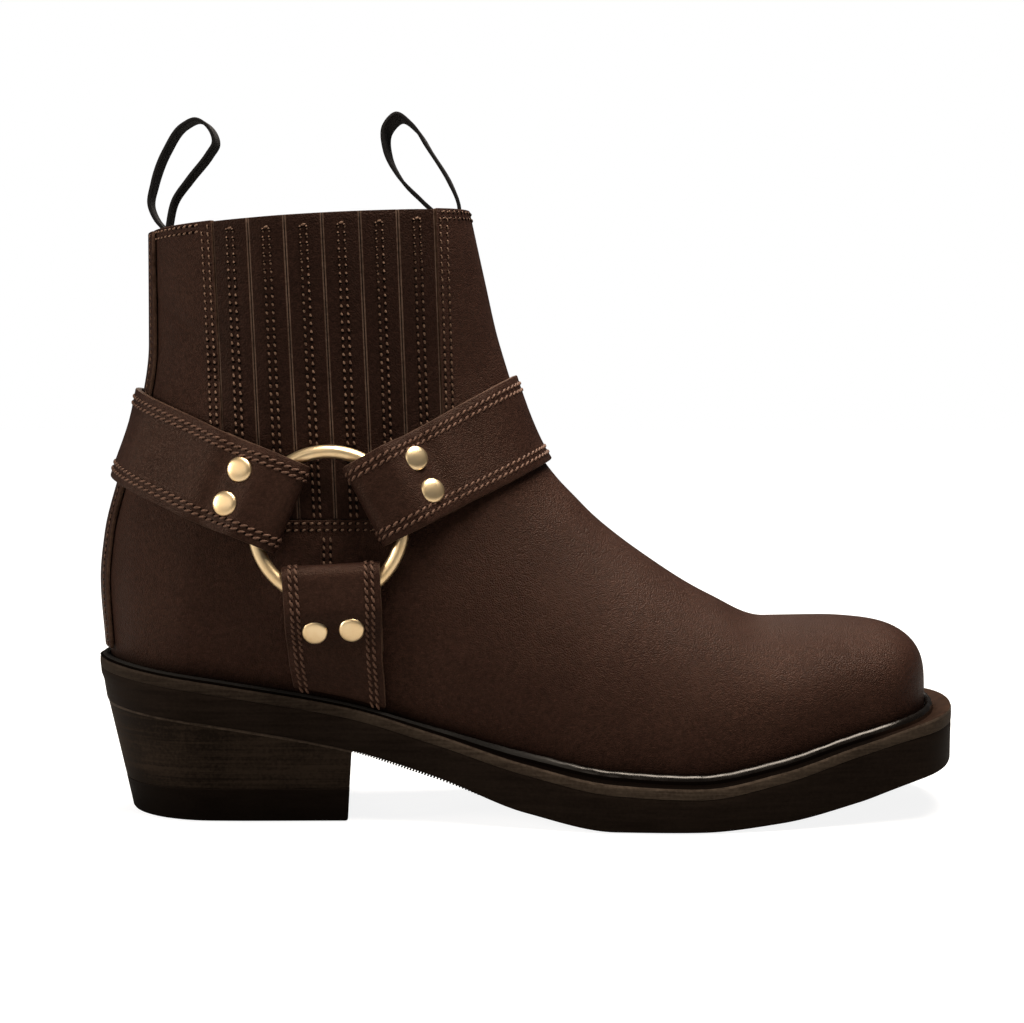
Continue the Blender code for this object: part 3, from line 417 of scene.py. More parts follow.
def side_point(s, v):
    """Side view of the upper: s runs from back to front, v from the welt to the collar."""
    back = np.array([np.interp(v, np.linspace(0, 1, 200), c) for c in (BACK_X, BACK_Z)])
    front = np.array([np.interp(v, np.linspace(0, 1, 300), c) for c in (FRONT_X, FRONT_Z)])
    foot_x = BACK_X[0] + (FRONT_X[0] - BACK_X[0]) * s
    foot = np.array([foot_x, seat(foot_x)])
    collar = np.array(
        [
            BACK_X[-1] + (FRONT_X[-1] - BACK_X[-1]) * s,
            BACK_Z[-1] + (FRONT_Z[-1] - BACK_Z[-1]) * s,
        ]
    )
    corner = [(BACK_X[0], BACK_Z[0]), (FRONT_X[0], FRONT_Z[0])]
    corner += [(BACK_X[-1], BACK_Z[-1]), (FRONT_X[-1], FRONT_Z[-1])]
    heel, toe, rear, fore = [np.array(c).reshape((2,) + (1,) * np.ndim(s)) for c in corner]
    flat = (1 - v) * ((1 - s) * heel + s * toe) + v * ((1 - s) * rear + s * fore)
    return (1 - v) * foot + v * collar + (1 - s) * back + s * front - flat


def skin(turn, v):
    """A point of the upper: turn 0 is the ridge, a quarter the outer side, a half the back seam."""
    turn = np.asarray(turn, float) + 0.0 * np.asarray(v, float)
    v = np.asarray(v, float) + 0.0 * turn
    around = 2.0 * math.pi * turn
    s = 0.5 * (1.0 + np.cos(around))
    x, z = side_point(s, v)
    lateral = np.sin(around) > 0.0
    wide = np.where(lateral, -half_width(x, z, -1), half_width(x, z, 1))
    wide = np.where(np.abs(np.sin(around)) < 1e-6, 0.0, wide)
    return np.stack([x, wide + swing(x), z], axis=-1)


def skin_normal(turn, v):
    step = 2e-3
    high = np.clip(v + step, 0.0, 1.0)
    low = np.clip(v - step, 0.0, 1.0)
    across = skin(turn + step, v) - skin(turn - step, v)
    wider = skin(turn + 4.0 * step, v) - skin(turn - 4.0 * step, v)
    across = np.where(np.linalg.norm(across, axis=-1, keepdims=True) < 1e-6, wider, across)
    up = skin(turn, high) - skin(turn, low)
    return unit(np.cross(up, across))


def lifted(turn, v, lift):
    turn = np.asarray(turn, float) + 0.0 * np.asarray(v, float)
    v = np.asarray(v, float) + 0.0 * turn
    lift = np.asarray(lift, float) + 0.0 * turn
    return skin(turn, v) + skin_normal(turn, v) * lift[..., None]


SEED_S, SEED_V = np.meshgrid(np.linspace(0.01, 0.99, 50), np.linspace(0.01, 0.99, 50), indexing="ij")
SEED_X, SEED_Z = side_point(SEED_S, SEED_V)


def find_on_skin(x, z, side):
    """turn and v of the wall's point that is seen at x, z from the side."""
    x = np.asarray(x, float)
    z = np.asarray(z, float)
    far = (x[..., None] - SEED_X.ravel()) ** 2 + (z[..., None] - SEED_Z.ravel()) ** 2
    nearest = np.argmin(far, axis=-1)
    s = SEED_S.ravel()[nearest]
    v = SEED_V.ravel()[nearest]
    for _ in range(12):
        here = side_point(s, v)
        ds = (side_point(s + 1e-4, v) - here) / 1e-4
        dv = (side_point(s, v + 1e-4) - here) / 1e-4
        miss_x, miss_z = x - here[0], z - here[1]
        area = ds[0] * dv[1] - ds[1] * dv[0]
        s = np.clip(s + (miss_x * dv[1] - miss_z * dv[0]) / area, 0.0, 0.9998)
        v = np.clip(v + (ds[0] * miss_z - ds[1] * miss_x) / area, 0.0, 0.9998)
    turn = np.arccos(np.clip(2.0 * s - 1.0, -1.0, 1.0)) / (2.0 * math.pi)
    return (turn if side < 0 else 1.0 - turn), v


# Meshes and pieces

def to_frame(points):
    return (np.asarray(points, float) - ORIGIN) * MM


def add_object(name, data):
    made = bpy.data.objects.new(name, data)
    bpy.context.scene.collection.objects.link(made)
    return made


def new_piece(name, points, faces, materials, bands=None):
    mesh = bpy.data.meshes.new(name)
    mesh.from_pydata(to_frame(points).tolist(), [], faces)
    for material in materials:
        mesh.materials.append(material)
    if bands is not None:
        mesh.polygons.foreach_set("material_index", bands)
    return add_object(name, mesh)


def turn_faces_out(mesh):
    work = bmesh.new()
    work.from_mesh(mesh)
    bmesh.ops.recalc_face_normals(work, faces=work.faces)
    work.to_mesh(mesh)
    work.free()


def settle(piece, nodes=(), body=BODY, sharp=42.0):
    """Applies the modifiers, shades the piece and gives it to the frame."""
    if piece.modifiers:
        graph = bpy.context.evaluated_depsgraph_get()
        made = bpy.data.meshes.new_from_object(piece.evaluated_get(graph))
        piece.modifiers.clear()
        plain = piece.data
        piece.data = made
        bpy.data.meshes.remove(plain)
        made.name = piece.name
    mesh = piece.data
    mesh.polygons.foreach_set("use_smooth", np.ones(len(mesh.polygons), bool))
    mesh.set_sharp_from_angle(angle=math.radians(sharp))
    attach(piece, body)
    if nodes:
        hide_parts(*nodes)
    return piece


def sheet_faces(rows, across, wrap=False):
    faces = []
    for i in range(rows if wrap else rows - 1):
        n = (i + 1) % rows
        for j in range(across - 1):
            faces.append((i * across + j, i * across + j + 1, n * across + j + 1, n * across + j))
    return faces


def thicken(piece, thick, offset, soften):
    """Wall thickness with its own inner and edge material, and softened edges."""
    shell = piece.modifiers.new("thickness", "SOLIDIFY")
    shell.thickness = thick * MM
    shell.offset = offset
    shell.use_rim = True
    shell.use_even_offset = False
    shell.material_offset = 1
    shell.material_offset_rim = 2
    soft = piece.modifiers.new("soft_edge", "BEVEL")
    soft.width = soften * MM
    soft.segments = 2
    soft.limit_method = "ANGLE"
    soft.angle_limit = math.radians(50.0)


def sheet_piece(name, grid, thick, offset, materials, soften=0.4):
    rows, across = grid.shape[:2]
    piece = new_piece(name, grid.reshape(-1, 3), sheet_faces(rows, across), materials)
    thicken(piece, thick, offset, soften)
    return piece


def ring_piece(name, rings, materials, bands, hollow=False):
    """A solid through closed outlines, one material number for each band between two outlines."""
    count = len(rings[0])
    half = count // 2
    faces = []
    numbers = []
    last = len(rings) - 1
    for r in range(len(rings) if hollow else last):
        low, high = r * count, ((r + 1) % len(rings)) * count
        for i in range(count):
            n = (i + 1) % count
            faces.append((low + i, low + n, high + n, high + i))
            numbers.append(bands[r])
    if not hollow:
        for low, number in ((0, bands[0]), (last * count, bands[-1])):
            for i in range(half):
                corners = (low + i, low + i + 1, low + count - i - 1, low + (count - i) % count)
                faces.append(tuple(dict.fromkeys(corners)))
                numbers.append(number)
    piece = new_piece(name, np.concatenate(rings), faces, materials, numbers)
    turn_faces_out(piece.data)
    return piece


# Node trees

FLOAT = "NodeSocketFloat"
COLOUR = "NodeSocketColor"
GEOMETRY = "NodeSocketGeometry"
MATERIAL = "NodeSocketMaterial"
OBJECT = "NodeSocketObject"


def new_tree(kind, name, inputs, outputs):
    tree = bpy.data.node_groups.new(name, kind)
    for way, sockets in (("INPUT", inputs), ("OUTPUT", outputs)):
        for label, socket_kind in sockets.items():
            tree.interface.new_socket(label, in_out=way, socket_type=socket_kind)
    return tree, tree.nodes.new("NodeGroupInput").outputs, tree.nodes.new("NodeGroupOutput")


def feed(tree, node, values):
    """Links sockets to a node's inputs, and sets plain values on them."""
    for key, value in values.items():
        if isinstance(value, bpy.types.NodeSocket):
            tree.links.new(value, node.inputs[key])
        else:
            node.inputs[key].default_value = value


def add_node(tree, kind, values=None, **settings):
    node = tree.nodes.new(kind)
    for key, value in settings.items():
        setattr(node, key, value)
    feed(tree, node, values or {})
    return node


def math_node(tree, operation, first, second=0.0, third=0.0, clamp=False):
    values = {0: first, 1: second, 2: third}
    return add_node(tree, "ShaderNodeMath", values, operation=operation, use_clamp=clamp).outputs[0]


def swayed(tree, value, middle, gain, base, clamp=False):
    """A base that a value's departure from its middle adds to."""
    return math_node(tree, "MULTIPLY_ADD", math_node(tree, "SUBTRACT", value, middle), gain, base, clamp)


def mix_colour(tree, share, first, second, kind="MIX"):
    values = {0: share, 6: first, 7: second}
    return add_node(tree, "ShaderNodeMix", values, data_type="RGBA", blend_type=kind).outputs[2]


def darkened(tree, colour, left):
    grey = add_node(tree, "ShaderNodeCombineColor", {"Red": left, "Green": left, "Blue": left})
    return mix_colour(tree, 1.0, colour, grey.outputs[0], "MULTIPLY")


def object_place(tree):
    return add_node(tree, "ShaderNodeTexCoord").outputs["Object"]


def noise(tree, place, scale, detail, roughness=0.5):
    values = {"Vector": place, "Scale": scale, "Detail": detail, "Roughness": roughness}
    return add_node(tree, "ShaderNodeTexNoise", values).outputs["Fac"]


# Shader groups and materials

SURFACE = {"Color": COLOUR, "Roughness": FLOAT, "Height": FLOAT}


def make_hide_group():
    """Smooth oiled hide: fine pebbles and pores, cloudy dye and a slightly uneven gloss."""
    inputs = {"Dye": COLOUR, "Worn Dye": COLOUR, "Cloud": FLOAT, "Pebble": FLOAT, "Gloss": FLOAT}
    group, get, result = new_tree("ShaderNodeTree", "hide", inputs, SURFACE)
    place = object_place(group)
    cloud = noise(group, place, scale=26.0, detail=4.0, roughness=0.6)
    fleck = noise(group, place, scale=760.0, detail=3.0, roughness=0.7)
    cells = {"Vector": place, "Scale": get["Pebble"], "Randomness": 1.0}
    pebble = add_node(group, "ShaderNodeTexVoronoi", cells).outputs["Distance"]
    worn = swayed(group, cloud, middle=0.42, gain=2.6, base=0.25, clamp=True)
    worn = math_node(group, "MULTIPLY", worn, get["Cloud"])
    speck = swayed(group, fleck, middle=0.5, gain=1.9, base=1.0)
    cell = swayed(group, pebble, middle=0.4, gain=0.6, base=1.0)
    rough = swayed(group, cloud, middle=0.5, gain=0.22, base=get["Gloss"])
    fine = math_node(group, "MULTIPLY", fleck, 0.32)
    surface = {
        "Color": darkened(
            group,
            mix_colour(group, worn, get["Dye"], get["Worn Dye"]),
            math_node(group, "MULTIPLY", speck, cell),
        ),
        "Roughness": swayed(group, fleck, middle=0.5, gain=0.16, base=rough),
        "Height": math_node(group, "SUBTRACT", fine, math_node(group, "MULTIPLY", pebble, 0.85)),
    }
    feed(group, result, surface)
    return group


def make_streak_group():
    """Fine streaks and specks of rubber, cut leather edges and stacked layers."""
    inputs = {"Dark": COLOUR, "Light": COLOUR, "Along": FLOAT, "Across": FLOAT}
    inputs.update({"Contrast": FLOAT, "Gloss": FLOAT})
    group, get, result = new_tree("ShaderNodeTree", "streaks", inputs, SURFACE)
    place = object_place(group)
    stretch = {"X": get["Along"], "Y": get["Along"], "Z": get["Across"]}
    scale = add_node(group, "ShaderNodeCombineXYZ", stretch)
    drawn = add_node(group, "ShaderNodeVectorMath", {0: place, 1: scale.outputs[0]}, operation="MULTIPLY")
    streak = noise(group, drawn.outputs[0], scale=1.0, detail=4.0, roughness=0.6)
    speck = noise(group, place, scale=900.0, detail=2.0)
    cloud = noise(group, place, scale=38.0, detail=3.0)
    mixed = math_node(group, "MULTIPLY_ADD", speck, 0.35, math_node(group, "MULTIPLY", streak, 0.65))
    mixed = swayed(group, cloud, middle=0.5, gain=0.5, base=mixed)
    share = swayed(group, mixed, middle=0.5, gain=get["Contrast"], base=0.4, clamp=True)
    surface = {
        "Color": mix_colour(group, share, get["Dark"], get["Light"]),
        "Roughness": swayed(group, mixed, middle=0.5, gain=0.5, base=get["Gloss"]),
        "Height": mixed,
    }
    feed(group, result, surface)
    return group


HIDE = make_hide_group()
STREAKS = make_streak_group()
WHITE = (1.0, 1.0, 1.0)
WARM = (1.0, 0.66, 0.47)
# Painted shade at the foot of the leather just above the welt: how much it darkens the colour, and how much
# rougher the leather gets there
FOOT_SHADE_DARK = 0.92
FOOT_SHADE_DULL = 0.3


def plain_material(name, colour, roughness, metallic=0.0, specular=0.5, tint=WHITE):
    material = bpy.data.materials.new(name)
    material.use_nodes = True
    tree = material.node_tree
    shader = tree.nodes["Principled BSDF"]
    values = {"Base Color": (*colour, 1.0), "Roughness": roughness, "Metallic": metallic}
    values.update({"Specular IOR Level": specular, "Specular Tint": (*tint, 1.0)})
    feed(tree, shader, values)
    return material, tree, shader


def bump_into(tree, shader, height, strength, distance):
    values = {"Height": height, "Strength": strength, "Distance": distance * MM}
    feed(tree, shader, {"Normal": add_node(tree, "ShaderNodeBump", values).outputs[0]})


Hide = namedtuple("Hide", "name dye worn cloud pebble gloss relief specular", defaults=(0.06,))


def hide_material(hide):
    """Hide whose foot is darkened with painted shade, and dulled, where the piece carries a foot shade."""
    material, tree, shader = plain_material(
        hide.name, hide.dye, hide.gloss, specular=hide.specular, tint=WARM
    )
    values = {"Dye": (*hide.dye, 1.0), "Worn Dye": (*hide.worn, 1.0)}
    values.update({"Cloud": hide.cloud, "Pebble": hide.pebble, "Gloss": hide.gloss})
    look = add_node(tree, "ShaderNodeGroup", values, node_tree=HIDE).outputs
    # The foot shade mask paints shade on the leather just above the welt
    low = add_node(tree, "ShaderNodeAttribute", attribute_name="burnish").outputs["Fac"]
    left = math_node(tree, "MULTIPLY_ADD", low, -FOOT_SHADE_DARK, 1.0)
    rough = math_node(tree, "MULTIPLY_ADD", low, FOOT_SHADE_DULL, look["Roughness"])
    feed(tree, shader, {"Base Color": darkened(tree, look["Color"], left), "Roughness": rough})
    bump_into(tree, shader, look["Height"], strength=0.85, distance=hide.relief)
    return material


Grade = namedtuple("Grade", "start end share dull")
STREAK_COLUMNS = "name dark light along across contrast gloss relief specular grade tint"
Streak = namedtuple("Streak", STREAK_COLUMNS, defaults=(0.08, None, WARM))


def streak_material(kind):
    """Streaks; a shade grade darkens them at the rear with painted shade, dulls them there, and lets them
    clear towards the toe.
    """
    material, tree, shader = plain_material(
        kind.name, kind.dark, kind.gloss, specular=kind.specular, tint=kind.tint
    )
    values = {"Dark": (*kind.dark, 1.0), "Light": (*kind.light, 1.0), "Along": kind.along}
    values.update({"Across": kind.across, "Contrast": kind.contrast, "Gloss": kind.gloss})
    look = add_node(tree, "ShaderNodeGroup", values, node_tree=STREAKS).outputs
    colour, rough = look["Color"], look["Roughness"]
    # The grade paints shade: the colour gets darker towards the heel
    if kind.grade:
        start, end = [(x - ORIGIN[0]) * MM for x in (kind.grade.start, kind.grade.end)]
        along = add_node(tree, "ShaderNodeSeparateXYZ", {0: object_place(tree)}).outputs[0]
        span = {"Value": along, "From Min": start, "From Max": end, "To Min": kind.grade.share, "To Max": 1.0}
        clear = add_node(tree, "ShaderNodeMapRange", span).outputs["Result"]
        colour = darkened(tree, colour, clear)
        back = math_node(tree, "SUBTRACT", 1.0, clear)
        rough = math_node(tree, "MULTIPLY_ADD", back, kind.grade.dull, rough, True)
    feed(tree, shader, {"Base Color": colour, "Roughness": rough})
    bump_into(tree, shader, look["Height"], strength=0.5, distance=kind.relief)
    return material


def brass_material():
    material, tree, shader = plain_material("pale_brass", (0.80, 0.65, 0.42), 0.2, metallic=1.0)
    place = object_place(tree)
    tarnish = noise(tree, place, scale=160.0, detail=5.0, roughness=0.65)
    scratch = noise(tree, place, scale=1400.0, detail=2.0)
    share = swayed(tree, tarnish, middle=0.5, gain=2.4, base=0.4, clamp=True)
    colour = mix_colour(tree, share, (1.0, 0.80, 0.50, 1.0), (0.90, 0.65, 0.34, 1.0))
    rough = math_node(tree, "MULTIPLY_ADD", tarnish, 0.26, 0.23)
    feed(tree, shader, {"Base Color": colour, "Roughness": rough})
    height = math_node(tree, "MULTIPLY_ADD", scratch, 0.4, tarnish)
    bump_into(tree, shader, height, strength=0.18, distance=0.08)
    return material


def two_tone(tree, shader, share, dark, light):
    feed(tree, shader, {"Base Color": mix_colour(tree, share, (*dark, 1.0), (*light, 1.0))})


def woven_material(name, dark, light, turns, roughness):
    """Plain weave on the piece's own length and width."""
    material, tree, shader = plain_material(name, dark, roughness, specular=0.15)
    run = add_node(tree, "ShaderNodeUVMap", uv_map="run").outputs[0]
    ways = add_node(tree, "ShaderNodeSeparateXYZ", {0: run}).outputs
    weft, warp = [math_node(tree, "SINE", math_node(tree, "MULTIPLY", ways[k], turns)) for k in (0, 1)]
    weave = math_node(tree, "MULTIPLY", weft, warp)
    two_tone(tree, shader, math_node(tree, "MULTIPLY_ADD", weave, 0.5, 0.5), dark, light)
    bump_into(tree, shader, weave, strength=0.5, distance=0.12)
    return material


def thread_material(name, dark, light):
    """Waxed thread: short light and dark turns of its plies."""
    material, tree, shader = plain_material(name, dark, 0.5, specular=0.2, tint=WARM)
    ply = noise(tree, object_place(tree), scale=1500.0, detail=2.0)
    two_tone(tree, shader, swayed(tree, ply, middle=0.5, gain=2.5, base=0.5, clamp=True), dark, light)
    bump_into(tree, shader, ply, strength=0.5, distance=0.15)
    return material


HIDES = [
    Hide("upper_hide", (0.0196, 0.0093, 0.0067), (0.033, 0.0163, 0.0116), 0.55, 2100.0, 0.40, 0.40, 0.07),
    Hide("strap_hide", (0.0172, 0.0081, 0.0058), (0.031, 0.0152, 0.0108), 0.60, 2200.0, 0.38, 0.24, 0.11),
    Hide("strip_hide", (0.0120, 0.0057, 0.0041), (0.0198, 0.0097, 0.0070), 0.50, 1700.0, 0.50, 0.34),
    Hide("lining_hide", (0.17, 0.105, 0.062), (0.24, 0.155, 0.095), 0.60, 800.0, 0.62, 0.12),
    Hide("insole_hide", (0.21, 0.132, 0.078), (0.15, 0.088, 0.05), 0.70, 700.0, 0.60, 0.12),
]
UPPER_HIDE, STRAP_HIDE, STRIP_HIDE, LINING_HIDE, INSOLE_HIDE = map(hide_material, HIDES)

EDGES = [
    Streak("cut_edge", (0.030, 0.0165, 0.011), (0.095, 0.056, 0.038), 240.0, 700.0, 2.4, 0.60, 0.10),
    Streak("strip_edge", (0.040, 0.025, 0.018), (0.120, 0.078, 0.057), 240.0, 700.0, 2.4, 0.60, 0.10),
    Streak("heel_rim", (0.016, 0.0120, 0.0088), (0.058, 0.044, 0.033), 200.0, 700.0, 2.6, 0.60, 0.10),
]
RAW_EDGE, PALE_EDGE, HEEL_RIM = map(streak_material, EDGES)

BOTTOMS = [
    Streak("sole_rubber", (0.0046, 0.0033, 0.0025), (0.0115, 0.0082, 0.0061), 40, 700, 3.0, 0.66, 0.14, 0.05),
    Streak("lift_rubber", (0.0022, 0.0016, 0.0012), (0.0055, 0.0040, 0.0031), 90, 420, 2.0, 0.60, 0.10, 0.04),
    Streak("heel_stack", (0.0068, 0.0050, 0.0037), (0.0225, 0.016, 0.0112), 20, 900, 4.2, 0.68, 0.20, 0.05),
    # Near-black beads at the needle holes are painted shade inside the holes
    Streak("needle_hole", (0.0018, 0.0011, 0.0008), (0.006, 0.0036, 0.0026), 700, 700, 2.0, 0.85, 0.08, 0.03),
]
RUBBER, LIFT_RUBBER, HEEL_STACK, HOLE_SHADE = map(streak_material, BOTTOMS)

# The welt's grades paint shade: edge, rim and roll darken towards the heel, where they lie in the shadow
# under the upper, and the ledge is painted almost black with shade except at the toe, where it keeps its lit
# brown
WELTS = [
    Streak(
        "welt_edge", (0.0165, 0.0122, 0.0088), (0.050, 0.0380, 0.0275), 60.0, 1100.0, 3.0, 0.66, 0.14,
        grade=Grade(60.0, 165.0, 0.5, 0.1),
    ),
    Streak(
        "welt_rim", (0.026, 0.0192, 0.0138), (0.080, 0.060, 0.044), 300.0, 900.0, 2.6, 0.66, 0.12,
        grade=Grade(60.0, 165.0, 0.42, 0.0),
    ),
    Streak(
        "welt_polish", (0.0030, 0.0023, 0.0019), (0.0070, 0.0054, 0.0044), 90.0, 90.0, 2.0, 0.26, 0.14, 0.32,
        Grade(138.0, 172.0, 0.2, 0.8), (1.0, 0.95, 0.88),
    ),
    Streak(
        "welt_ledge", (0.012, 0.0066, 0.0044), (0.034, 0.0185, 0.0122), 160.0, 160.0, 2.2, 0.72, 0.10, 0.03,
        Grade(266.0, 298.0, 0.03, 0.1),
    ),
]
WELT_EDGE, WELT_RIM, WELT_BLACK, WELT_LEDGE = map(streak_material, WELTS)

BRASS = brass_material()
ELASTIC = woven_material("gore_elastic", (0.010, 0.008, 0.007), (0.026, 0.021, 0.018), 5200.0, 0.85)
RIBBON = woven_material("loop_ribbon", (0.0028, 0.0025, 0.0025), (0.0075, 0.0068, 0.0068), 6500.0, 0.75)
PALE_THREAD = thread_material("light_thread", (0.082, 0.047, 0.032), (0.20, 0.125, 0.086))
THREAD = thread_material("brown_thread", (0.050, 0.027, 0.019), (0.130, 0.074, 0.052))
UPPER_FINISH = [UPPER_HIDE, LINING_HIDE, RAW_EDGE]


# Upper

Fold = namedtuple("Fold", "name x z turn long wide deep")
FOLDS = [
    Fold("quarter wrinkle high", 37.0, 166.0, -38.0, 13.0, 2.6, -0.63),
    Fold("quarter wrinkle mid", 42.0, 158.5, -34.0, 12.0, 2.4, -0.72),
    Fold("quarter ridge", 39.0, 162.2, -36.0, 12.0, 2.2, 0.30),
    Fold("quarter wrinkle low", 47.0, 150.5, -30.0, 10.0, 2.6, -0.58),
    Fold("shaft front dent", 136.0, 160.0, 70.0, 18.0, 7.0, -0.45),
    Fold("throat trough", 150.0, 118.0, 52.0, 16.0, 5.0, -0.40),
    Fold("instep ridge", 163.0, 104.0, 48.0, 18.0, 6.0, 0.25),
    Fold("vamp dip trough", 231.0, 60.0, -40.0, 15.0, 5.0, -0.45),
    Fold("vamp dip ridge", 222.0, 62.0, -44.0, 15.0, 5.0, 0.22),
    Fold("ball trough", 214.0, 48.0, -62.0, 15.0, 5.5, -0.28),
    Fold("heel hollow", 58.0, 78.0, 15.0, 22.0, 12.0, -0.35),
]


def fold_relief(x, z):
    lift = 0.0 * x
    for fold in FOLDS:
        a = math.radians(fold.turn)
        along = (x - fold.x) * math.cos(a) + (z - fold.z) * math.sin(a)
        across = (z - fold.z) * math.cos(a) - (x - fold.x) * math.sin(a)
        lift = lift + fold.deep * np.exp(-((along / fold.long) ** 2) - (across / fold.wide) ** 2)
    return lift


def gore_edges(z):
    """Stations of the cut-out's rear and front edge at a height."""
    heights = [GORE_FOOT_Z - GORE_LAP, GORE_FOOT_Z, GORE_LOW_Z, GORE_PAST_Z]
    lean = (GORE_PAST_Z - GORE_LOW_Z) / (COLLAR_BACK_Z - GORE_LOW_Z)
    edges = []
    for foot, low, top, draw in (
        (GORE_FOOT_REAR, GORE_LOW_REAR, GORE_TOP_REAR, 0.5 * GORE_LAP),
        (GORE_FOOT_FRONT, GORE_LOW_FRONT, GORE_TOP_FRONT, -0.5 * GORE_LAP),
    ):
        edges.append(np.interp(z, heights, [foot + draw, foot, low, low + (top - low) * lean]))
    return edges


def collar_z(x):
    share = (x - BACK_X[-1]) / (FRONT_X[-1] - BACK_X[-1])
    return COLLAR_BACK_Z + (COLLAR_FRONT_Z - COLLAR_BACK_Z) * share


def face_middle(face):
    return face.calc_center_median() / MM + Vector(ORIGIN)


def cut_gore(work, side):
    """Opens the side cut-out in the upper's sheet along straight lines of the side view."""
    heights = np.array([GORE_FOOT_Z, GORE_LOW_Z, GORE_CUT_TOP])
    rear, front = gore_edges(heights)
    corners = list(zip(rear, heights)) + list(zip(front, heights))[::-1]
    low_x, high_x = min(rear) - CUT_MARGIN, max(front) + CUT_MARGIN
    lines = list(zip(corners, corners[1:] + corners[:1]))
    del lines[2]  # above the collar, where the cut-out is open
    for a, b in lines:
        near = []
        for face in work.faces:
            x, y, z = face_middle(face)
            if y * side > SIDE_FROM and low_x < x < high_x and z > GORE_FOOT_Z - CUT_MARGIN:
                near.append(face)
        parts = set(near)
        for face in near:
            parts.update(face.edges)
            parts.update(face.verts)
        across = Vector((b[1] - a[1], 0.0, a[0] - b[0])).normalized()
        pin = Vector(to_frame(np.array([a[0], 0.0, a[1]])))
        bmesh.ops.bisect_plane(work, geom=list(parts), dist=CUT_SNAP * MM, plane_co=pin, plane_no=across)
    inside = []
    for face in work.faces:
        x, y, z = face_middle(face)
        if y * side > SIDE_FROM and z > GORE_FOOT_Z:
            rear_x, front_x = gore_edges(z)
            if rear_x < x < front_x:
                inside.append(face)
    bmesh.ops.delete(work, geom=inside, context="FACES")


def draw_to_cut(work, reach):
    """Draws points that lie nearly on a cut onto it, so that its edge can be softened."""
    low = (GORE_FOOT_Z - CUT_MARGIN) * MM

    def bend(point):
        rims = [edge for edge in point.link_edges if edge.is_boundary]
        a, b = [edge.other_vert(point).co - point.co for edge in rims[:2]]
        return a.angle(b, math.pi)

    rim = sorted((v for v in work.verts if v.is_boundary and v.co.z > low), key=bend)
    target = {}
    kept = set()
    for point in rim:
        if point in target:
            continue
        kept.add(point)
        for edge in point.link_edges:
            other = edge.other_vert(point)
            if edge.calc_length() < reach * MM and other not in kept and other not in target:
                target[other] = point
    bmesh.ops.weld_verts(work, targetmap=target)


def shade_at_foot(piece, high=8.0):
    """Marks how near the welt a piece's points are, for the painted shade at its foot just above the welt."""
    mesh = piece.data
    place = np.empty(3 * len(mesh.vertices))
    mesh.vertices.foreach_get("co", place)
    place = place.reshape(-1, 3) / MM + ORIGIN
    low = np.clip(1.0 - (place[:, 2] - seat(place[:, 0])) / high, 0.0, 1.0) ** 1.6
    mesh.attributes.new("burnish", "FLOAT", "POINT").data.foreach_set("value", low)


def build_upper():
    turns = np.arange(UPPER_AROUND) / UPPER_AROUND
    levels = np.linspace(0.0, 1.0, UPPER_LEVELS + 1)
    turn, level = np.meshgrid(turns, levels, indexing="ij")
    flat = skin(turn, level)
    grid = lifted(turn, level, fold_relief(flat[..., 0], flat[..., 2]))
    faces = sheet_faces(UPPER_AROUND, UPPER_LEVELS + 1, wrap=True)
    upper = new_piece("upper_shell", grid.reshape(-1, 3), faces, UPPER_FINISH)
    work = bmesh.new()
    work.from_mesh(upper.data)
    for side, _ in SIDES:
        cut_gore(work, side)
    for _ in range(3):
        draw_to_cut(work, CUT_REACH)
    work.to_mesh(upper.data)
    work.free()
    thicken(upper, WALL, -1.0, 0.35)
    shade_at_foot(settle(upper, ["upper"]))


def patch_grid(x, z, side, lift):
    turn, v = find_on_skin(x, z, side)
    grid = lifted(turn, v, lift)
    return grid[:, ::-1] if side > 0 else grid


def set_run(piece, rows, across, long, wide):
    """Length and width of a sheet's faces, in metres, for its weave."""
    layer = piece.data.uv_layers.new(name="run")
    place = np.zeros((len(piece.data.loops), 2))
    index = np.empty(len(piece.data.loops), int)
    piece.data.loops.foreach_get("vertex_index", index)
    place[:, 0] = (index // across) / (rows - 1) * long * MM
    place[:, 1] = (index % across) / (across - 1) * wide * MM
    layer.data.foreach_set("uv", place.ravel())


def build_gores():
    up, wide = 25, 33
    part = np.linspace(0.0, 1.0, up)
    for side, name in SIDES:
        heights = GORE_FOOT_Z - GORE_LAP + (COLLAR_BACK_Z - GORE_FOOT_Z + GORE_LAP) * part
        rear, front = gore_edges(heights)
        across = np.linspace(1.0, 0.0, wide)
        x = (rear - GORE_LAP)[None, :] + (front - rear + 2.0 * GORE_LAP)[None, :] * across[:, None]
        z = heights[None, :] + (collar_z(x) - GORE_COLLAR_GAP - COLLAR_BACK_Z) * part[None, :]
        grid = patch_grid(x, z, side, -(WALL + GORE_BEHIND))
        gore = new_piece("elastic_" + name, grid.reshape(-1, 3), sheet_faces(wide, up), [ELASTIC] * 3)
        set_run(gore, wide, up, *GORE_WEAVE)
        thicken(gore, GORE_THICK, -1.0, 0.2)
        settle(gore, ["gore_" + name])
        for number in range(STRIPS):
            build_strip(number, side, name)


def strip_foot(x):
    """Lower end of a strip: the cut-out's floor or its slanted edge."""
    rear = (GORE_FOOT_REAR - x) / (GORE_FOOT_REAR - GORE_LOW_REAR)
    front = (x - GORE_FOOT_FRONT) / (GORE_LOW_FRONT - GORE_FOOT_FRONT)
    share = np.clip(np.maximum(rear, front), 0.0, None)
    return GORE_FOOT_Z + (GORE_LOW_Z - GORE_FOOT_Z) * share + STRIP_END_GAP


def strip_lean(share, inset):
    """A line up a strip, as a function that gives its station at a height."""
    top_rear, top_front = gore_edges(STRIP_TOP_Z)
    low_rear, low_front = gore_edges(GORE_LOW_Z)
    top = top_rear + (top_front - top_rear) * share + inset
    low = low_rear + (low_front - low_rear) * share + inset
    return lambda z: low + (top - low) * (z - GORE_LOW_Z) / (STRIP_TOP_Z - GORE_LOW_Z)


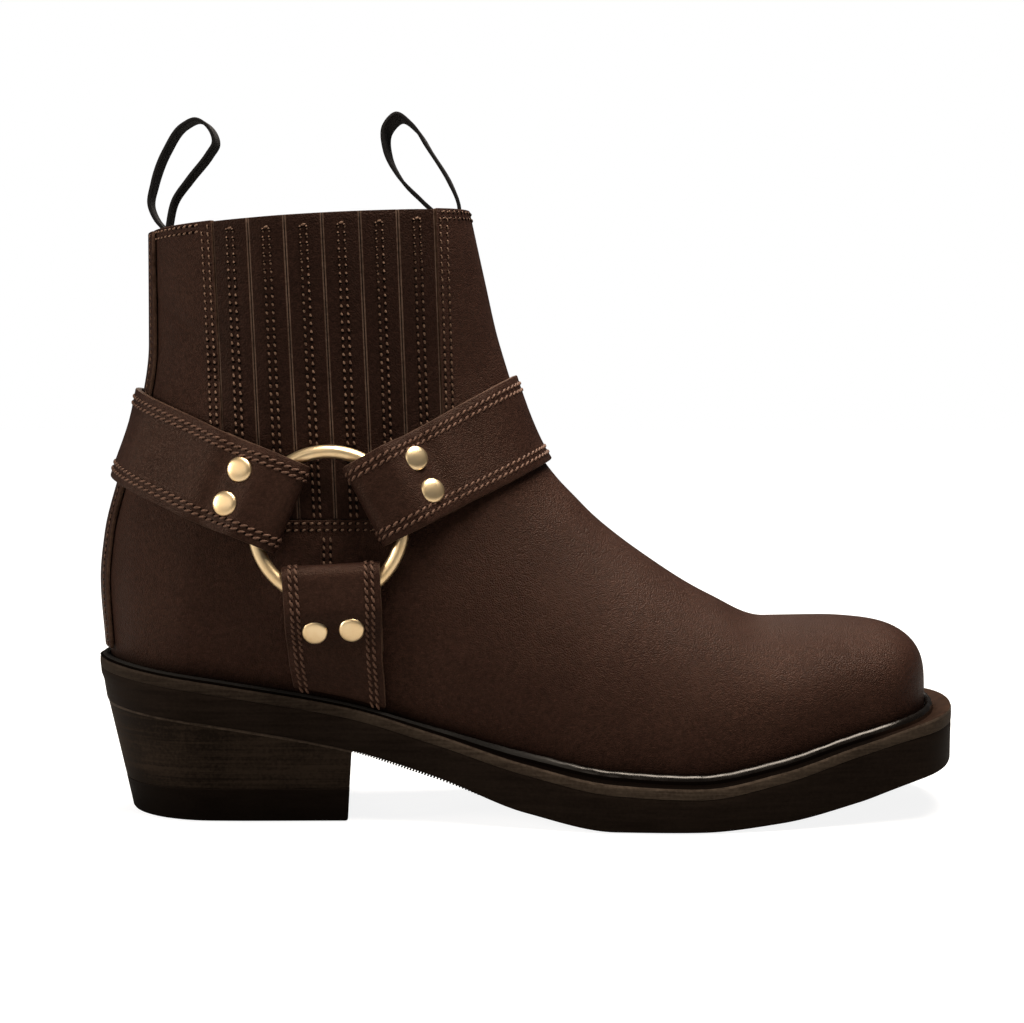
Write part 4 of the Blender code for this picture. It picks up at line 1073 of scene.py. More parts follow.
def strip_line(share, inset, up):
    """Stations and heights of lines up a strip, from its foot to the collar."""
    lean = strip_lean(share, inset)
    foot = strip_foot(lean(GORE_LOW_Z))
    for _ in range(6):
        foot = strip_foot(lean(foot))
    top = collar_z(lean(STRIP_TOP_Z)) - STRIP_END_GAP
    z = foot[:, None] + (top - foot)[:, None] * up[None, :]
    x = np.stack([lean(z[:, k]) for k in range(len(up))], axis=1)
    return x, z


def build_strip(number, side, name):
    cross = np.array([1.0, 0.962, 0.90, 0.72, 0.5, 0.28, 0.10, 0.038, 0.0])
    up = np.linspace(0.0, 1.0, STRIP_ROWS)
    x, z = strip_line((number + cross) / STRIPS, (0.5 - cross) * STRIP_SLIT, up)
    crown = STRIP_LIFT + STRIP_CROWN - STRIP_CROWN * np.abs(2.0 * cross - 1.0) ** 6
    grid = patch_grid(x, z, side, crown[:, None])
    bands = np.zeros((len(cross) - 1, STRIP_ROWS - 1), int)
    bands[[0, -1]] = 2
    strip = new_piece(
        f"strip_{name}_{number + 1}",
        grid.reshape(-1, 3),
        sheet_faces(*grid.shape[:2]),
        [STRIP_HIDE, LINING_HIDE, PALE_EDGE],
        bands.ravel(),
    )
    thicken(strip, STRIP_THICK, -1.0, 0.12)
    settle(strip, [f"gore_strip_{name}_{number + 1}"])


def lip_lift(x):
    """Height of the lapped edge over the upper: full at the seam, thinned away from it."""
    return LIP_HIGH * np.clip(1.0 - (x - SIDE_SEAM) / LIP_WIDE, 0.02, 1.0)


def build_seam_lips():
    """The quarter's lapped edge down the side seam, from the gore to the welt."""
    for side, name in SIDES:
        x = SIDE_SEAM + LIP_WIDE * np.linspace(1.0, 0.0, 8)[:, None] + np.zeros((1, 40))
        z = np.linspace(LIP_FOOT_Z, GORE_FOOT_Z - LIP_TOP_GAP, 40)[None, :] + 0.0 * x
        grid = patch_grid(x, z, side, lip_lift(x))
        lip = sheet_piece("seam_lip_" + name, grid, LIP_HIGH, -1.0, UPPER_FINISH, 0.12)
        settle(lip)


def stay_turn(levels):
    """Turn from the back seam to the edge of the strip over it."""

    def inside(turn):
        x, z = side_point(0.5 * (1.0 + np.cos(2.0 * math.pi * turn)), levels)
        return x - back_at(z) < smooth(column(STAYS, "z"), column(STAYS, "deep"), z)

    return 0.5 - bisect(0.0 * levels + 0.5, 0.0 * levels + 0.38, inside)


def build_back_stay():
    levels = np.linspace(0.024, 0.996, 110)
    turn = 0.5 + np.linspace(-1.0, 1.0, 25)[:, None] * stay_turn(levels)[None, :]
    grid = lifted(turn, levels[None, :] + 0.0 * turn, BACK_STAY_LIFT)
    stay = sheet_piece("back_strip", grid, BACK_STAY_THICK, 1.0, UPPER_FINISH, 0.45)
    shade_at_foot(settle(stay, ["back_stay"]))


# Harness

class RingPlace:
    """Place of a ring on one side of the boot."""

    def __init__(self, side):
        turn, v = find_on_skin(np.array([RING_X]), np.array([RING_Z]), side)
        lift = STRAP_LIFT + STRAP_THICK + GAP + RING_WIRE + RING_CLEAR
        self.normal = skin_normal(turn, v)[0]
        self.centre = lifted(turn, v, np.array([lift]))[0]

    def lean(self, normal, share):
        return unit(normal + (self.normal - normal) * share[..., None])

    def height_over(self, point, normal):
        return ((self.centre - point) @ self.normal) / (normal @ self.normal)


def line_level(turn, point, way):
    """Level v at which a line of the side view crosses the upper at each turn."""
    s = 0.5 * (1.0 + np.cos(2.0 * math.pi * turn))

    def below(v):
        x, z = side_point(s, v)
        return (z - point[1]) * abs(way[0]) < (x - point[0]) * way[1] * math.copysign(1.0, way[0])

    return bisect(0.0 * turn, 0.0 * turn + 1.0, below)


def strap_axes(strap):
    way = unit(np.array([strap.end_x - RING_X, strap.end_z - RING_Z]))
    return way, np.array([-way[1], way[0]])


def strap_wide(strap, along):
    """Width of a strap at a distance from the ring's centre."""
    length = math.hypot(strap.end_x - RING_X, strap.end_z - RING_Z)
    return strap.wide + (strap.end_wide - strap.wide) * along / length


def strap_near(strap, ring, turn, v):
    """Points of the upper under a strap, how far along it they lie and the normals to lift them by."""
    way, _ = strap_axes(strap)
    point = skin(turn, v)
    along = (point[..., 0] - RING_X) * way[0] + (point[..., 2] - RING_Z) * way[1]
    near = 1.0 - ease((along - STRAP_WIRE_END) / (STRAP_PINCH - STRAP_WIRE_END))
    return point, along, near, ring.lean(skin_normal(turn, v), near)


def strap_outer(strap, ring, turn, v, seam):
    point, along, near, normal = strap_near(strap, ring, turn, v)
    over = ring.height_over(point, normal)
    flat = STRAP_LIFT + 0.5 * STRAP_THICK
    stay = 0.0
    if seam == 0.5:
        gap_to_seam = np.abs(turn - 0.5) / BACK_STAY_TURN
        stay = (BACK_STAY_CLEAR + BACK_STAY_THICK) * (1.0 - ease((gap_to_seam - 1.0) / BACK_STAY_EASE))
    double = flat + STRAP_THICK + GAP
    far_lift = double + (flat + stay - double) * ease((along - STRAP_TAIL) / STRAP_TAIL_EASE)
    lift = far_lift + (over + STRAP_BEND - far_lift) * near
    return point + normal * lift[..., None]


def strap_tail(strap, ring, turn, v):
    point, _, near, normal = strap_near(strap, ring, turn, v)
    flat = STRAP_LIFT + 0.5 * STRAP_THICK
    lift = flat + (ring.height_over(point, normal) - STRAP_BEND - flat) * near
    return point + normal * np.maximum(flat, lift)[..., None]


def strap_spots(strap, side, along, across):
    way, wide = strap_axes(strap)
    along = np.asarray(along, float)[:, None]
    across = np.asarray(across, float)[None, :] * strap_wide(strap, along)
    x = RING_X + way[0] * along + wide[0] * across
    z = RING_Z + way[1] * along + wide[1] * across
    return find_on_skin(x, z, side)


def strap_half(strap, side, seam, across):
    """A strap's middle surface: tucked end, fold round the ring, outer layer; and where each starts."""
    ring = RingPlace(side)
    way, wide = strap_axes(strap)
    across = np.asarray(across, float)
    start = STRAP_FOLD + STRAP_BEND + 0.5 * STRAP_THICK
    steps = list(np.linspace(start, STRAP_FREE, 18))
    tail_turn, tail_v = strap_spots(strap, side, [STRAP_TAIL] + steps[-2::-1], across)
    turn, v = strap_spots(strap, side, steps, across)
    if seam is None:
        length = np.hypot(strap.end_x - RING_X, strap.end_z - RING_Z)
        end_x = RING_X + way[0] * length + wide[0] * across * strap.end_wide
        end_z = station("welt_top", end_x) + WELT_ROLL_HIGH + STRAP_WELT_GAP
        reach = across * strap_wide(strap, STRAP_FREE)
        first_x = RING_X + way[0] * STRAP_FREE + wide[0] * reach
        first_z = RING_Z + way[1] * STRAP_FREE + wide[1] * reach
        share = np.linspace(0.0, 1.0, 9)[1:, None]
        more, level = find_on_skin(
            first_x + (end_x - first_x) * share, first_z + (end_z - first_z) * share, side
        )
    else:
        goal = 1.0 if side > 0 and seam == 0.0 else seam
        share = np.linspace(0.0, 1.0, 40)[1:, None]
        more = turn[-1][None, :] + (goal - turn[-1])[None, :] * share
        level = np.empty_like(more)
        for j, part in enumerate(across):
            pin = np.array([RING_X, RING_Z]) + wide * part * strap.wide
            end = np.array([strap.end_x, strap.end_z]) + wide * part * strap.end_wide
            level[:, j] = line_level(more[:, j], pin, end - pin)
    turn = np.concatenate([turn, more])
    v = np.concatenate([v, level])
    outer = strap_outer(strap, ring, turn, v, seam)
    under = strap_tail(strap, ring, tail_turn, tail_v)
    middle = 0.5 * (outer[0] + under[-1])
    out = 0.5 * (outer[0] - under[-1])
    ahead = unit(outer[0] - outer[1])
    bends = np.radians(np.linspace(15.0, 165.0, 11))
    fold = [middle - out * math.cos(a) + ahead * STRAP_BEND * math.sin(a) for a in bends]
    return under, np.array(fold), outer


def strap_run(strap, side, seam, across):
    return np.concatenate(strap_half(strap, side, seam, across))


def build_straps():
    finish = [STRAP_HIDE, STRAP_HIDE, RAW_EDGE]
    for side, name in SIDES:
        grid = strap_run(STRAP_DOWN, side, None, np.linspace(-0.5, 0.5, STRAP_ACROSS))
        grid = grid[:, ::-1] if side > 0 else grid
        band = sheet_piece("band_down_" + name, grid, STRAP_THICK, 0.0, finish, 0.5)
        shade_at_foot(settle(band, ["strap_down_" + name]), 5.0)
    for strap, seam in ((STRAP_REAR, 0.5), (STRAP_FRONT, 0.0)):
        across = np.linspace(-0.5, 0.5, STRAP_ACROSS)
        near = strap_run(strap, -1, seam, across)
        far = strap_run(strap, 1, seam, across)
        grid = np.concatenate([near, far[-2::-1]])
        settle(
            sheet_piece(strap.name.replace("strap", "band"), grid, STRAP_THICK, 0.0, finish, 0.5),
            [strap.name],
        )


def build_rings():
    around, sides = 120, 24
    for side, name in SIDES:
        ring = RingPlace(side)
        first = unit(np.cross(ring.normal, [0.0, 0.0, 1.0]))
        second = np.cross(ring.normal, first)
        rows = []
        for a in 2.0 * math.pi * np.arange(around) / around:
            out = first * math.cos(a) + second * math.sin(a)
            for b in 2.0 * math.pi * np.arange(sides) / sides:
                reach = RING_RADIUS + RING_WIRE_SEEN * math.cos(b)
                rows.append(ring.centre + out * reach + ring.normal * RING_WIRE_SEEN * math.sin(b))
        faces = []
        for i in range(around):
            for j in range(sides):
                n, m = (i + 1) % around, (j + 1) % sides
                faces.append((i * sides + j, n * sides + j, n * sides + m, i * sides + m))
        piece = new_piece("hoop_" + name, rows, faces, [BRASS])
        turn_faces_out(piece.data)
        settle(piece, ["ring_" + name], body="ring_" + name, sharp=80.0)


# Rows of thread and rivets, set out by node trees

def outward_turn(tree, rotation):
    """Turns the Z axis of a rotation to the stored outward direction."""
    out = add_node(tree, "GeometryNodeInputNamedAttribute", {"Name": "out"}, data_type="FLOAT_VECTOR")
    node = add_node(
        tree, "FunctionNodeAlignRotationToVector", {"Vector": out.outputs["Attribute"]}, axis="Z"
    )
    if rotation is not None:
        tree.links.new(rotation, node.inputs["Rotation"])
        node.pivot_axis = "X"
    return node.outputs["Rotation"]


def points_along(tree, get):
    """Points a pitch apart along every path, and a turn that follows the path and faces out."""
    rows = add_node(tree, "GeometryNodeMeshToCurve", {"Mesh": get["Geometry"]})
    spaced = {"Curve": rows.outputs[0], "Length": get["Pitch"]}
    spots = add_node(tree, "GeometryNodeCurveToPoints", spaced, mode="LENGTH").outputs
    run = add_node(tree, "FunctionNodeAlignRotationToVector", {"Vector": spots["Tangent"]}, axis="X")
    return spots["Points"], outward_turn(tree, run.outputs["Rotation"])


def end_tree(tree, result, copies, material):
    """Sets a shape on every point, and makes all of them one mesh with its finish."""
    made = add_node(tree, "GeometryNodeInstanceOnPoints", copies)
    real = add_node(tree, "GeometryNodeRealizeInstances", {"Geometry": made.outputs[0]})
    shade = add_node(tree, "GeometryNodeSetShadeSmooth", {0: real.outputs[0]})
    finish = add_node(tree, "GeometryNodeSetMaterial", {"Geometry": shade.outputs[0], "Material": material})
    feed(tree, result, {0: finish.outputs[0]})


def make_stitch_tree():
    """Short thread loops along every path, one a pitch apart, slanted across it."""
    inputs = {"Geometry": GEOMETRY, "Pitch": FLOAT, "Length": FLOAT, "Thickness": FLOAT, "Slant": FLOAT}
    inputs["Finish"] = MATERIAL
    tree, get, result = new_tree("GeometryNodeTree", "stitch_rows", inputs, {"Geometry": GEOMETRY})
    points, facing = points_along(tree, get)
    slant = add_node(tree, "ShaderNodeCombineXYZ", {"Z": get["Slant"]})
    by = add_node(tree, "FunctionNodeEulerToRotation", {0: slant.outputs[0]}).outputs[0]
    turns = {"Rotation": facing, "Rotate By": by}
    turned = add_node(tree, "FunctionNodeRotateRotation", turns, rotation_space="LOCAL")
    bead = add_node(tree, "GeometryNodeMeshUVSphere", {"Segments": 8, "Rings": 6, "Radius": 0.5})
    upright = {"Geometry": bead.outputs["Mesh"], "Rotation": (0.0, math.pi / 2, 0.0)}
    sizes = {"X": get["Length"], "Y": get["Thickness"], "Z": get["Thickness"]}
    copies = {
        "Points": points,
        "Instance": add_node(tree, "GeometryNodeTransform", upright).outputs[0],
        "Rotation": turned.outputs[0],
        "Scale": add_node(tree, "ShaderNodeCombineXYZ", sizes).outputs[0],
    }
    end_tree(tree, result, copies, get["Finish"])
    return tree


def make_seat_tree():
    """One copy of a small shape on every point, facing out."""
    inputs = {"Geometry": GEOMETRY, "Shape": OBJECT, "Finish": MATERIAL}
    tree, get, result = new_tree("GeometryNodeTree", "seated_shapes", inputs, {"Geometry": GEOMETRY})
    copies = {
        "Points": add_node(tree, "GeometryNodeMeshToPoints", {"Mesh": get["Geometry"]}).outputs[0],
        "Instance": add_node(tree, "GeometryNodeObjectInfo", {"Object": get["Shape"]}).outputs["Geometry"],
        "Rotation": outward_turn(tree, None),
    }
    end_tree(tree, result, copies, get["Finish"])
    return tree


def run_tree(name, paths, tree, values, nodes=(), sharp=80.0, wide=None):
    """A plain mesh that a tree makes along paths, each a list of points and outward directions."""
    points = np.concatenate([p for p, _ in paths])
    outs = np.concatenate([o for _, o in paths])
    edges = []
    first = 0
    for path, _ in paths:
        edges += [(first + i, first + i + 1) for i in range(len(path) - 1)]
        first += len(path)
    mesh = bpy.data.meshes.new(name)
    mesh.from_pydata(to_frame(points).tolist(), edges, [])
    layer = mesh.attributes.new("out", "FLOAT_VECTOR", "POINT")
    layer.data.foreach_set("vector", np.asarray(outs, float).ravel())
    if wide is not None:
        mesh.attributes.new("wide", "FLOAT", "POINT").data.foreach_set("value", wide * MM)
    piece = add_object(name, mesh)
    made = piece.modifiers.new("made", "NODES")
    made.node_group = tree
    sockets = {item.name: item.identifier for item in tree.interface.items_tree if item.in_out == "INPUT"}
    for label, value in values.items():
        made[sockets[label]] = value
    return settle(piece, nodes, sharp=sharp)


def dense(points, outs, step=0.5):
    """A path with points about every half millimetre, so that rows keep an even pitch."""
    length = run_length(points)
    at = np.linspace(0.0, length[-1], max(2, int(length[-1] / step)))
    new = np.stack([np.interp(at, length, points[:, k]) for k in range(3)], axis=1)
    out = np.stack([np.interp(at, length, outs[:, k]) for k in range(3)], axis=1)
    return new, unit(out)


def cut_start(path, start):
    points, outs = path
    keep = run_length(points) >= start
    return points[keep], outs[keep]


def strap_row(strap, side, seam, share, lift):
    """A row along a strap's outer face, from inside its fold to its far end."""
    trio = [strap_half(strap, side, seam, [share + d]) for d in (-0.02, 0.0, 0.02)]
    low, mid, high = [np.concatenate([fold[4:], outer])[:, 0] for _, fold, outer in trio]
    ahead = np.gradient(mid, axis=0)
    out = unit(np.cross(high - low, ahead))
    out = out * np.sign(out[-1] @ skin_side(mid[-1], side))
    return mid + out * (0.5 * STRAP_THICK + lift), out


def skin_side(point, side):
    turn, v = find_on_skin(np.array([point[0]]), np.array([point[2]]), side)
    return skin_normal(turn, v)[0]


def side_row(x, z, side, lift):
    """A row on the upper along a line of the side view."""
    turn, v = find_on_skin(np.asarray(x, float), np.asarray(z, float), side)
    return lifted(turn, v, lift), skin_normal(turn, v)


def collar_row(turns, down, lift):
    """A row round the collar, a distance below its edge."""
    rise = np.linalg.norm(skin(turns, 0.999) - skin(turns, 0.98), axis=1) / 0.019
    level = 1.0 - down / rise
    return lifted(turns, level, lift), skin_normal(turns, level)


STITCH_LIFT = 0.12
BAND_STITCH_LIFT = 0.1
HOLE_SINK = 0.22
SEAM_ROWS = (1.2, 3.4)
BAND_SEAMS = (2.7, 4.8)
STRIP_SEAMS = (-1.05, 1.05)
PANEL_FOOT_Z = 103.0
PANEL_TOP_Z = 203.5
SEAM_END_Z = 52.0
SEAM_START_GAP = 6.6
CollarRow = namedtuple("CollarRow", "start end count")
COLLAR_ROWS = [CollarRow(0.362, 0.446, 60), CollarRow(0.554, 0.638, 60), CollarRow(-0.092, 0.092, 120)]


def strap_rows():
    rows = []
    for strap, _, seam in STRAP_RUNS:
        for side, _ in SIDES:
            for inset in BAND_SEAMS:
                for edge in (-1.0, 1.0):
                    share = edge * (0.5 - inset / strap.wide)
                    rows.append(strap_row(strap, side, seam, share, BAND_STITCH_LIFT))
    return rows


def strip_rows():
    rows = []
    up = np.linspace(0.012, 0.955, 60)
    for side, _ in SIDES:
        for number in range(STRIPS):
            ends = []
            for shift in STRIP_SEAMS:
                x, z = strip_line(np.array([(number + 0.5) / STRIPS]), np.array([shift]), up)
                row = side_row(x[0], z[0], side, STRIP_LIFT + STRIP_CROWN + STITCH_LIFT)
                rows.append(row)
                ends.append((row[0][-1], row[1][-1]))
            middle = [0.5 * (a + b) for a, b in zip(*ends)]
            over = np.array([middle[0], ends[1][0]])
            rise = (over[0] - rows[-1][0][-6]) * [0.0, 0.0, 0.12]
            rows.append((over + rise, np.array([middle[1], ends[1][1]])))
    return rows


def panel_rows():
    rows = []
    z = np.linspace(PANEL_FOOT_Z, PANEL_TOP_Z, 90)
    for side, _ in SIDES:
        for off in SEAM_ROWS:
            rear, front = gore_edges(z)
            keep = z < collar_z(rear) - off
            rows.append(side_row(rear[keep] - off, z[keep], side, STITCH_LIFT))
            keep = z < collar_z(front) - 2.0
            rows.append(side_row(front[keep] + off, z[keep], side, STITCH_LIFT))
            along = np.linspace(GORE_FOOT_REAR - GORE_LAP, GORE_FOOT_FRONT + GORE_LAP, 40)
            rows.append(side_row(along, 0.0 * along + GORE_FOOT_Z - off, side, STITCH_LIFT))
            down = np.linspace(GORE_FOOT_Z - SEAM_START_GAP, SEAM_END_Z, 60)
            lift = STITCH_LIFT + lip_lift(SIDE_SEAM + off)
            rows.append(side_row(0.0 * down + SIDE_SEAM + off, down, side, lift))
    for off in SEAM_ROWS:
        for row in COLLAR_ROWS:
            rows.append(collar_row(np.linspace(*row), off, STITCH_LIFT))
    return rows


def stay_rows():
    levels = np.linspace(0.035, 0.985, 120)
    rows = []
    for edge in (-1.0, 1.0):
        turn = 0.5 + edge * 0.85 * stay_turn(levels)
        lift = BACK_STAY_LIFT + BACK_STAY_THICK + STITCH_LIFT
        rows.append((lifted(turn, levels, lift), skin_normal(turn, levels)))
    return rows


Stitching = namedtuple("Stitching", "name rows pitch long thick slant hole_long hole_wide thread")


def build_thread():
    tree = make_stitch_tree()
    for kind in (
        Stitching("band", strap_rows(), 2.65, 2.7, 0.92, 0.38, 0.8, 1.15, THREAD),
        Stitching("strip", strip_rows(), 2.65, 1.6, 0.75, 0.24, 1.15, 1.3, PALE_THREAD),
        Stitching("panel", panel_rows(), 2.5, 1.6, 0.75, 0.26, 1.1, 1.2, PALE_THREAD),
        Stitching("back", stay_rows(), 2.3, 1.6, 0.6, 0.12, 1.0, 0.7, THREAD),
    ):
        paths = [dense(*row) for row in kind.rows]
        values = {"Pitch": kind.pitch * MM, "Length": kind.long * MM, "Thickness": kind.thick * MM}
        values.update({"Slant": kind.slant, "Finish": kind.thread})
        run_tree(kind.name + "_stitches", paths, tree, values)
        # Dark beads sunk at each needle hole paint the shade inside the holes
        holes = [cut_start(path, 0.5 * kind.pitch) for path in paths]
        holes = [(points - outs * HOLE_SINK, outs) for points, outs in holes if len(points) > 3]
        values = {"Pitch": kind.pitch * MM, "Length": kind.hole_long * MM, "Thickness": kind.hole_wide * MM}
        values.update({"Slant": 0.0, "Finish": HOLE_SHADE})
        run_tree(kind.name + "_holes", holes, tree, values)


def rivet_place(strap, side, seam, offset):
    ring = RingPlace(side)
    along = [strap.rivets - 3.0, strap.rivets + 3.0]
    across = np.array([offset - 3.0, offset + 3.0]) / strap_wide(strap, strap.rivets)
    turn, v = strap_spots(strap, side, along, across)
    corner = strap_outer(strap, ring, turn, v, seam)
    axis = unit(np.cross(corner[1, 1] - corner[0, 0], corner[0, 1] - corner[1, 0]))
    axis = axis * math.copysign(1.0, float(axis @ ring.normal))
    axis = unit(axis + RIVET_UPRIGHT * (ring.normal - axis))
    return corner.reshape(4, 3).mean(axis=0) + axis * (0.5 * STRAP_THICK + RIVET_SEAT), axis


Dome = namedtuple("Dome", "out up")
DOMES = [
    Dome(0.28, 0.985),
    Dome(0.52, 0.93),
    Dome(0.72, 0.84),
    Dome(0.87, 0.70),
    Dome(0.95, 0.54),
    Dome(1.0, 0.32),
    Dome(1.0, -0.5),
]
RIVET_STEPS = 28


def rivet_head():
    """Low dome with a rolled rim, turned about its axis."""
    radius, high = RIVET_RADIUS * MM, RIVET_HIGH * MM
    around = 2.0 * math.pi * np.arange(RIVET_STEPS) / RIVET_STEPS
    points = [(0.0, 0.0, high)]
    for dome in DOMES:
        reach = dome.out * radius
        points += [(reach * math.cos(a), reach * math.sin(a), dome.up * high) for a in around]
    points.append((0.0, 0.0, DOMES[-1].up * high))
    last = len(points) - 1
    faces = []
    for i in range(RIVET_STEPS):
        n = (i + 1) % RIVET_STEPS
        faces.append((0, 1 + i, 1 + n))
        for ring in range(1, last - RIVET_STEPS, RIVET_STEPS):
            below = ring + RIVET_STEPS
            faces.append((ring + i, below + i, below + n, ring + n))
        faces.append((last, last - RIVET_STEPS + n, last - RIVET_STEPS + i))
    mesh = bpy.data.meshes.new("rivet_head")
    mesh.from_pydata(points, [], faces)
    return add_object("rivet_head", mesh)


def build_rivets():
    head = rivet_head()
    spots = []
    nodes = []
    for side, name in SIDES:
        for strap, role, seam in STRAP_RUNS:
            for number, offset in ((1, 0.5 * RIVET_APART), (2, -0.5 * RIVET_APART)):
                foot, axis = rivet_place(strap, side, seam, offset)
                spots.append((foot[None, :], axis[None, :]))
                nodes.append(f"rivet_{role}_{name}_{number}")
    values = {"Shape": head, "Finish": BRASS}
    run_tree("rivet_heads", spots, make_seat_tree(), values, nodes, sharp=50.0)
    bpy.data.objects.remove(head, do_unlink=True)


# Sole

def outline(x, lateral, medial):
    middle = swing(x)
    near = np.stack([x, middle - lateral, 0.0 * x], axis=1)
    far = np.stack([x, middle + medial, 0.0 * x], axis=1)
    return np.concatenate([near, far[-2:0:-1]])


def spread(ring, out):
    """A closed outline moved outwards in plan."""
    ahead = np.roll(ring, -1, axis=0) - np.roll(ring, 1, axis=0)
    # Where both neighbours of an end point meet, the next pair gives the direction
    wider = np.roll(ring, -2, axis=0) - np.roll(ring, 2, axis=0)
    met = np.linalg.norm(ahead[:, :2], axis=1, keepdims=True) < 1e-6
    ahead = np.where(met, wider, ahead)
    normal = unit(np.stack([ahead[:, 1], -ahead[:, 0]], axis=1))
    moved = ring.copy()
    moved[:, :2] += normal * np.asarray(out).reshape(-1, 1)
    return moved


def at_height(ring, height, add=0.0):
    moved = ring.copy()
    moved[:, 2] = height(moved[:, 0]) + add
    return moved


def sole_ring():
    along = np.linspace(0.0, math.pi, SOLE_STEPS + 1)
    x = SOLE_REAR + 0.5 * (SOLE_END - SOLE_REAR) * (1.0 - np.cos(along))
    heel = np.clip(1.0 - (x - SOLE_REAR) / SOLE_HEEL_ROUND, 0.0, None) ** 2
    toe = np.clip(1.0 - (SOLE_END - x) / SOLE_TOE_DEPTH, 0.0, None) ** TOE_SQUARE
    left = np.sqrt(np.clip(1.0 - heel - toe, 0.0, None))
    return outline(x, station("lateral", x) * left, station("medial", x) * left)


def upper_ring(lift):
    along = np.linspace(0.0, math.pi, SOLE_STEPS + 1)
    x = BACK_X[0] + 0.5 * (FRONT_X[0] - BACK_X[0]) * (1.0 - np.cos(along))
    wide = []
    for side in (-1, 1):
        rows = [half_width(x, seat(x) + h, side) for h in np.linspace(0.0, lift, 3)]
        wide.append(np.max(rows, axis=0))
        wide[-1][[0, -1]] = 0.0
    return outline(x, wide[0], wide[1])


def welt_top(x):
    return station("welt_top", x)


def welt_bottom(x):
    return station("welt_top", x) - WELT_THICK


def outsole_top(x):
    return welt_bottom(x) - GAP


def outsole_bottom(x):
    return station("outsole_bottom", x)


SCALLOP = 8.2
TOE_EDGE_RISE = 1.1
TOE_EDGE_FROM = 268.0
TOE_EDGE_EASE = 26.0
TOE_SOFT_EASE = 24.0
Rim = namedtuple("Rim", "out height add")
WELT_RIMS = [
    Rim(-0.3, welt_bottom, 0.0),
    Rim(-0.04, welt_bottom, 0.2),
    Rim(0.05, welt_bottom, 1.4),
    Rim(0.02, welt_top, -1.0),
    Rim(-0.25, welt_top, -0.2),
    Rim(-0.9, welt_top, 0.0),
]
Roll = namedtuple("Roll", "out up")
ROLLS = [
    Roll(1.35, -0.08),
    Roll(1.08, 0.06),
    Roll(0.98, 0.42),
    Roll(0.86, 0.72),
    Roll(0.66, 0.93),
    Roll(0.42, 1.0),
    Roll(0.2, 0.92),
    Roll(0.0, 0.7),
]


def build_welt():
    """Flat strip with its edge, and a scalloped black roll against the upper."""
    edge = sole_ring()
    wall = spread(upper_ring(WELT_ROLL_HIGH + 0.6), 0.35)
    inside = spread(upper_ring(0.0), -WELT_INSIDE)
    length = run_length(wall)
    front = ease((wall[:, 0] - 100.0) / 60.0)
    beat = math.pi * length / SCALLOP
    dip = np.sin(beat) ** 2 * (0.7 + 0.3 * np.sin(0.37 * beat + 1.0))
    wide = WELT_ROLL_WIDE * (1.0 + 0.14 * front - 0.09 * dip * front)
    high = WELT_ROLL_HIGH * (0.45 + 0.8 * front) * (1.0 - 0.06 * dip * front)
    finish = [WELT_EDGE, WELT_BLACK, WELT_RIM, WELT_LEDGE]
    edge_band, roll_band, rim_band, ledge_band = range(len(finish))
    rings = [at_height(spread(edge, rim.out), rim.height, rim.add) for rim in WELT_RIMS]
    for ring in rings[3:]:
        ring[:, 2] += TOE_EDGE_RISE * ease((ring[:, 0] - TOE_EDGE_FROM) / TOE_EDGE_EASE)
    bands = [edge_band] * 3 + [rim_band] + [ledge_band] * 2
    for roll in ROLLS:
        ring = spread(wall, wide * roll.out)
        ring[:, 2] = welt_top(ring[:, 0]) + high * roll.up
        rings.append(ring)
        bands.append(ledge_band if roll.out > 1.0 else roll_band)
    rings += [at_height(wall, welt_top), at_height(inside, welt_top), at_height(inside, welt_bottom)]
    bands += [roll_band] * 3
    welt = ring_piece("welt_strip", rings, finish, bands, hollow=True)
    settle(welt, ["welt"], sharp=38.0)


def build_outsole():
    edge = sole_ring()
    tuck = OUTSOLE_TUCK * (1.0 - ease(edge[:, 0] / 30.0))
    soft = 1.0 - 0.75 * ease((edge[:, 0] - TOE_EDGE_FROM) / TOE_SOFT_EASE)
    rings = [
        at_height(spread(edge, -1.7 * soft - tuck), outsole_bottom),
        at_height(spread(edge, -1.15 * soft - tuck), outsole_bottom, 0.3),
        at_height(spread(edge, -0.9 * soft - tuck), outsole_bottom, 1.0),
        at_height(spread(edge, -0.65 * soft - 0.4 * tuck), outsole_top, -4.2),
        at_height(spread(edge, -0.3 * soft), outsole_top, -2.0),
        at_height(spread(edge, -0.12), outsole_top, 0.05),
        at_height(spread(edge, -0.25), outsole_top, GAP + 0.1),
        at_height(spread(edge, -1.4), outsole_top, GAP + 0.1),
    ]
    sole = ring_piece("rubber_sole", rings, [RUBBER], [0] * len(rings))
    settle(sole, ["outsole"], sharp=35.0)


RIB_FROM = 92.5
RIB_TO = 134.0
RIB_PITCH = 1.0
RIB_HALF_WIDE = 0.32
RIB_HIGH = 0.30
RIB_INSET = 2.0
RIB_SINK = 0.08


def rib_bar():
    """Half-round bar of unit length across the sole."""
    work = bmesh.new()
    rows = []
    for y in (-0.5, 0.5):
        arc = [(math.cos(a), math.sin(a)) for a in np.linspace(0, math.pi, 7)]
        rows.append([work.verts.new((RIB_HALF_WIDE * MM * c, y, RIB_HIGH * MM * s)) for c, s in arc])
    for i in range(6):
        work.faces.new((rows[0][i], rows[0][i + 1], rows[1][i + 1], rows[1][i]))
    work.faces.new(rows[0])
    work.faces.new(rows[1][::-1])
    work.faces.new((rows[0][0], rows[1][0], rows[1][-1], rows[0][-1]))
    bmesh.ops.recalc_face_normals(work, faces=work.faces)
    mesh = bpy.data.meshes.new("rib_bar")
    work.to_mesh(mesh)
    work.free()
    return add_object("rib_bar", mesh)


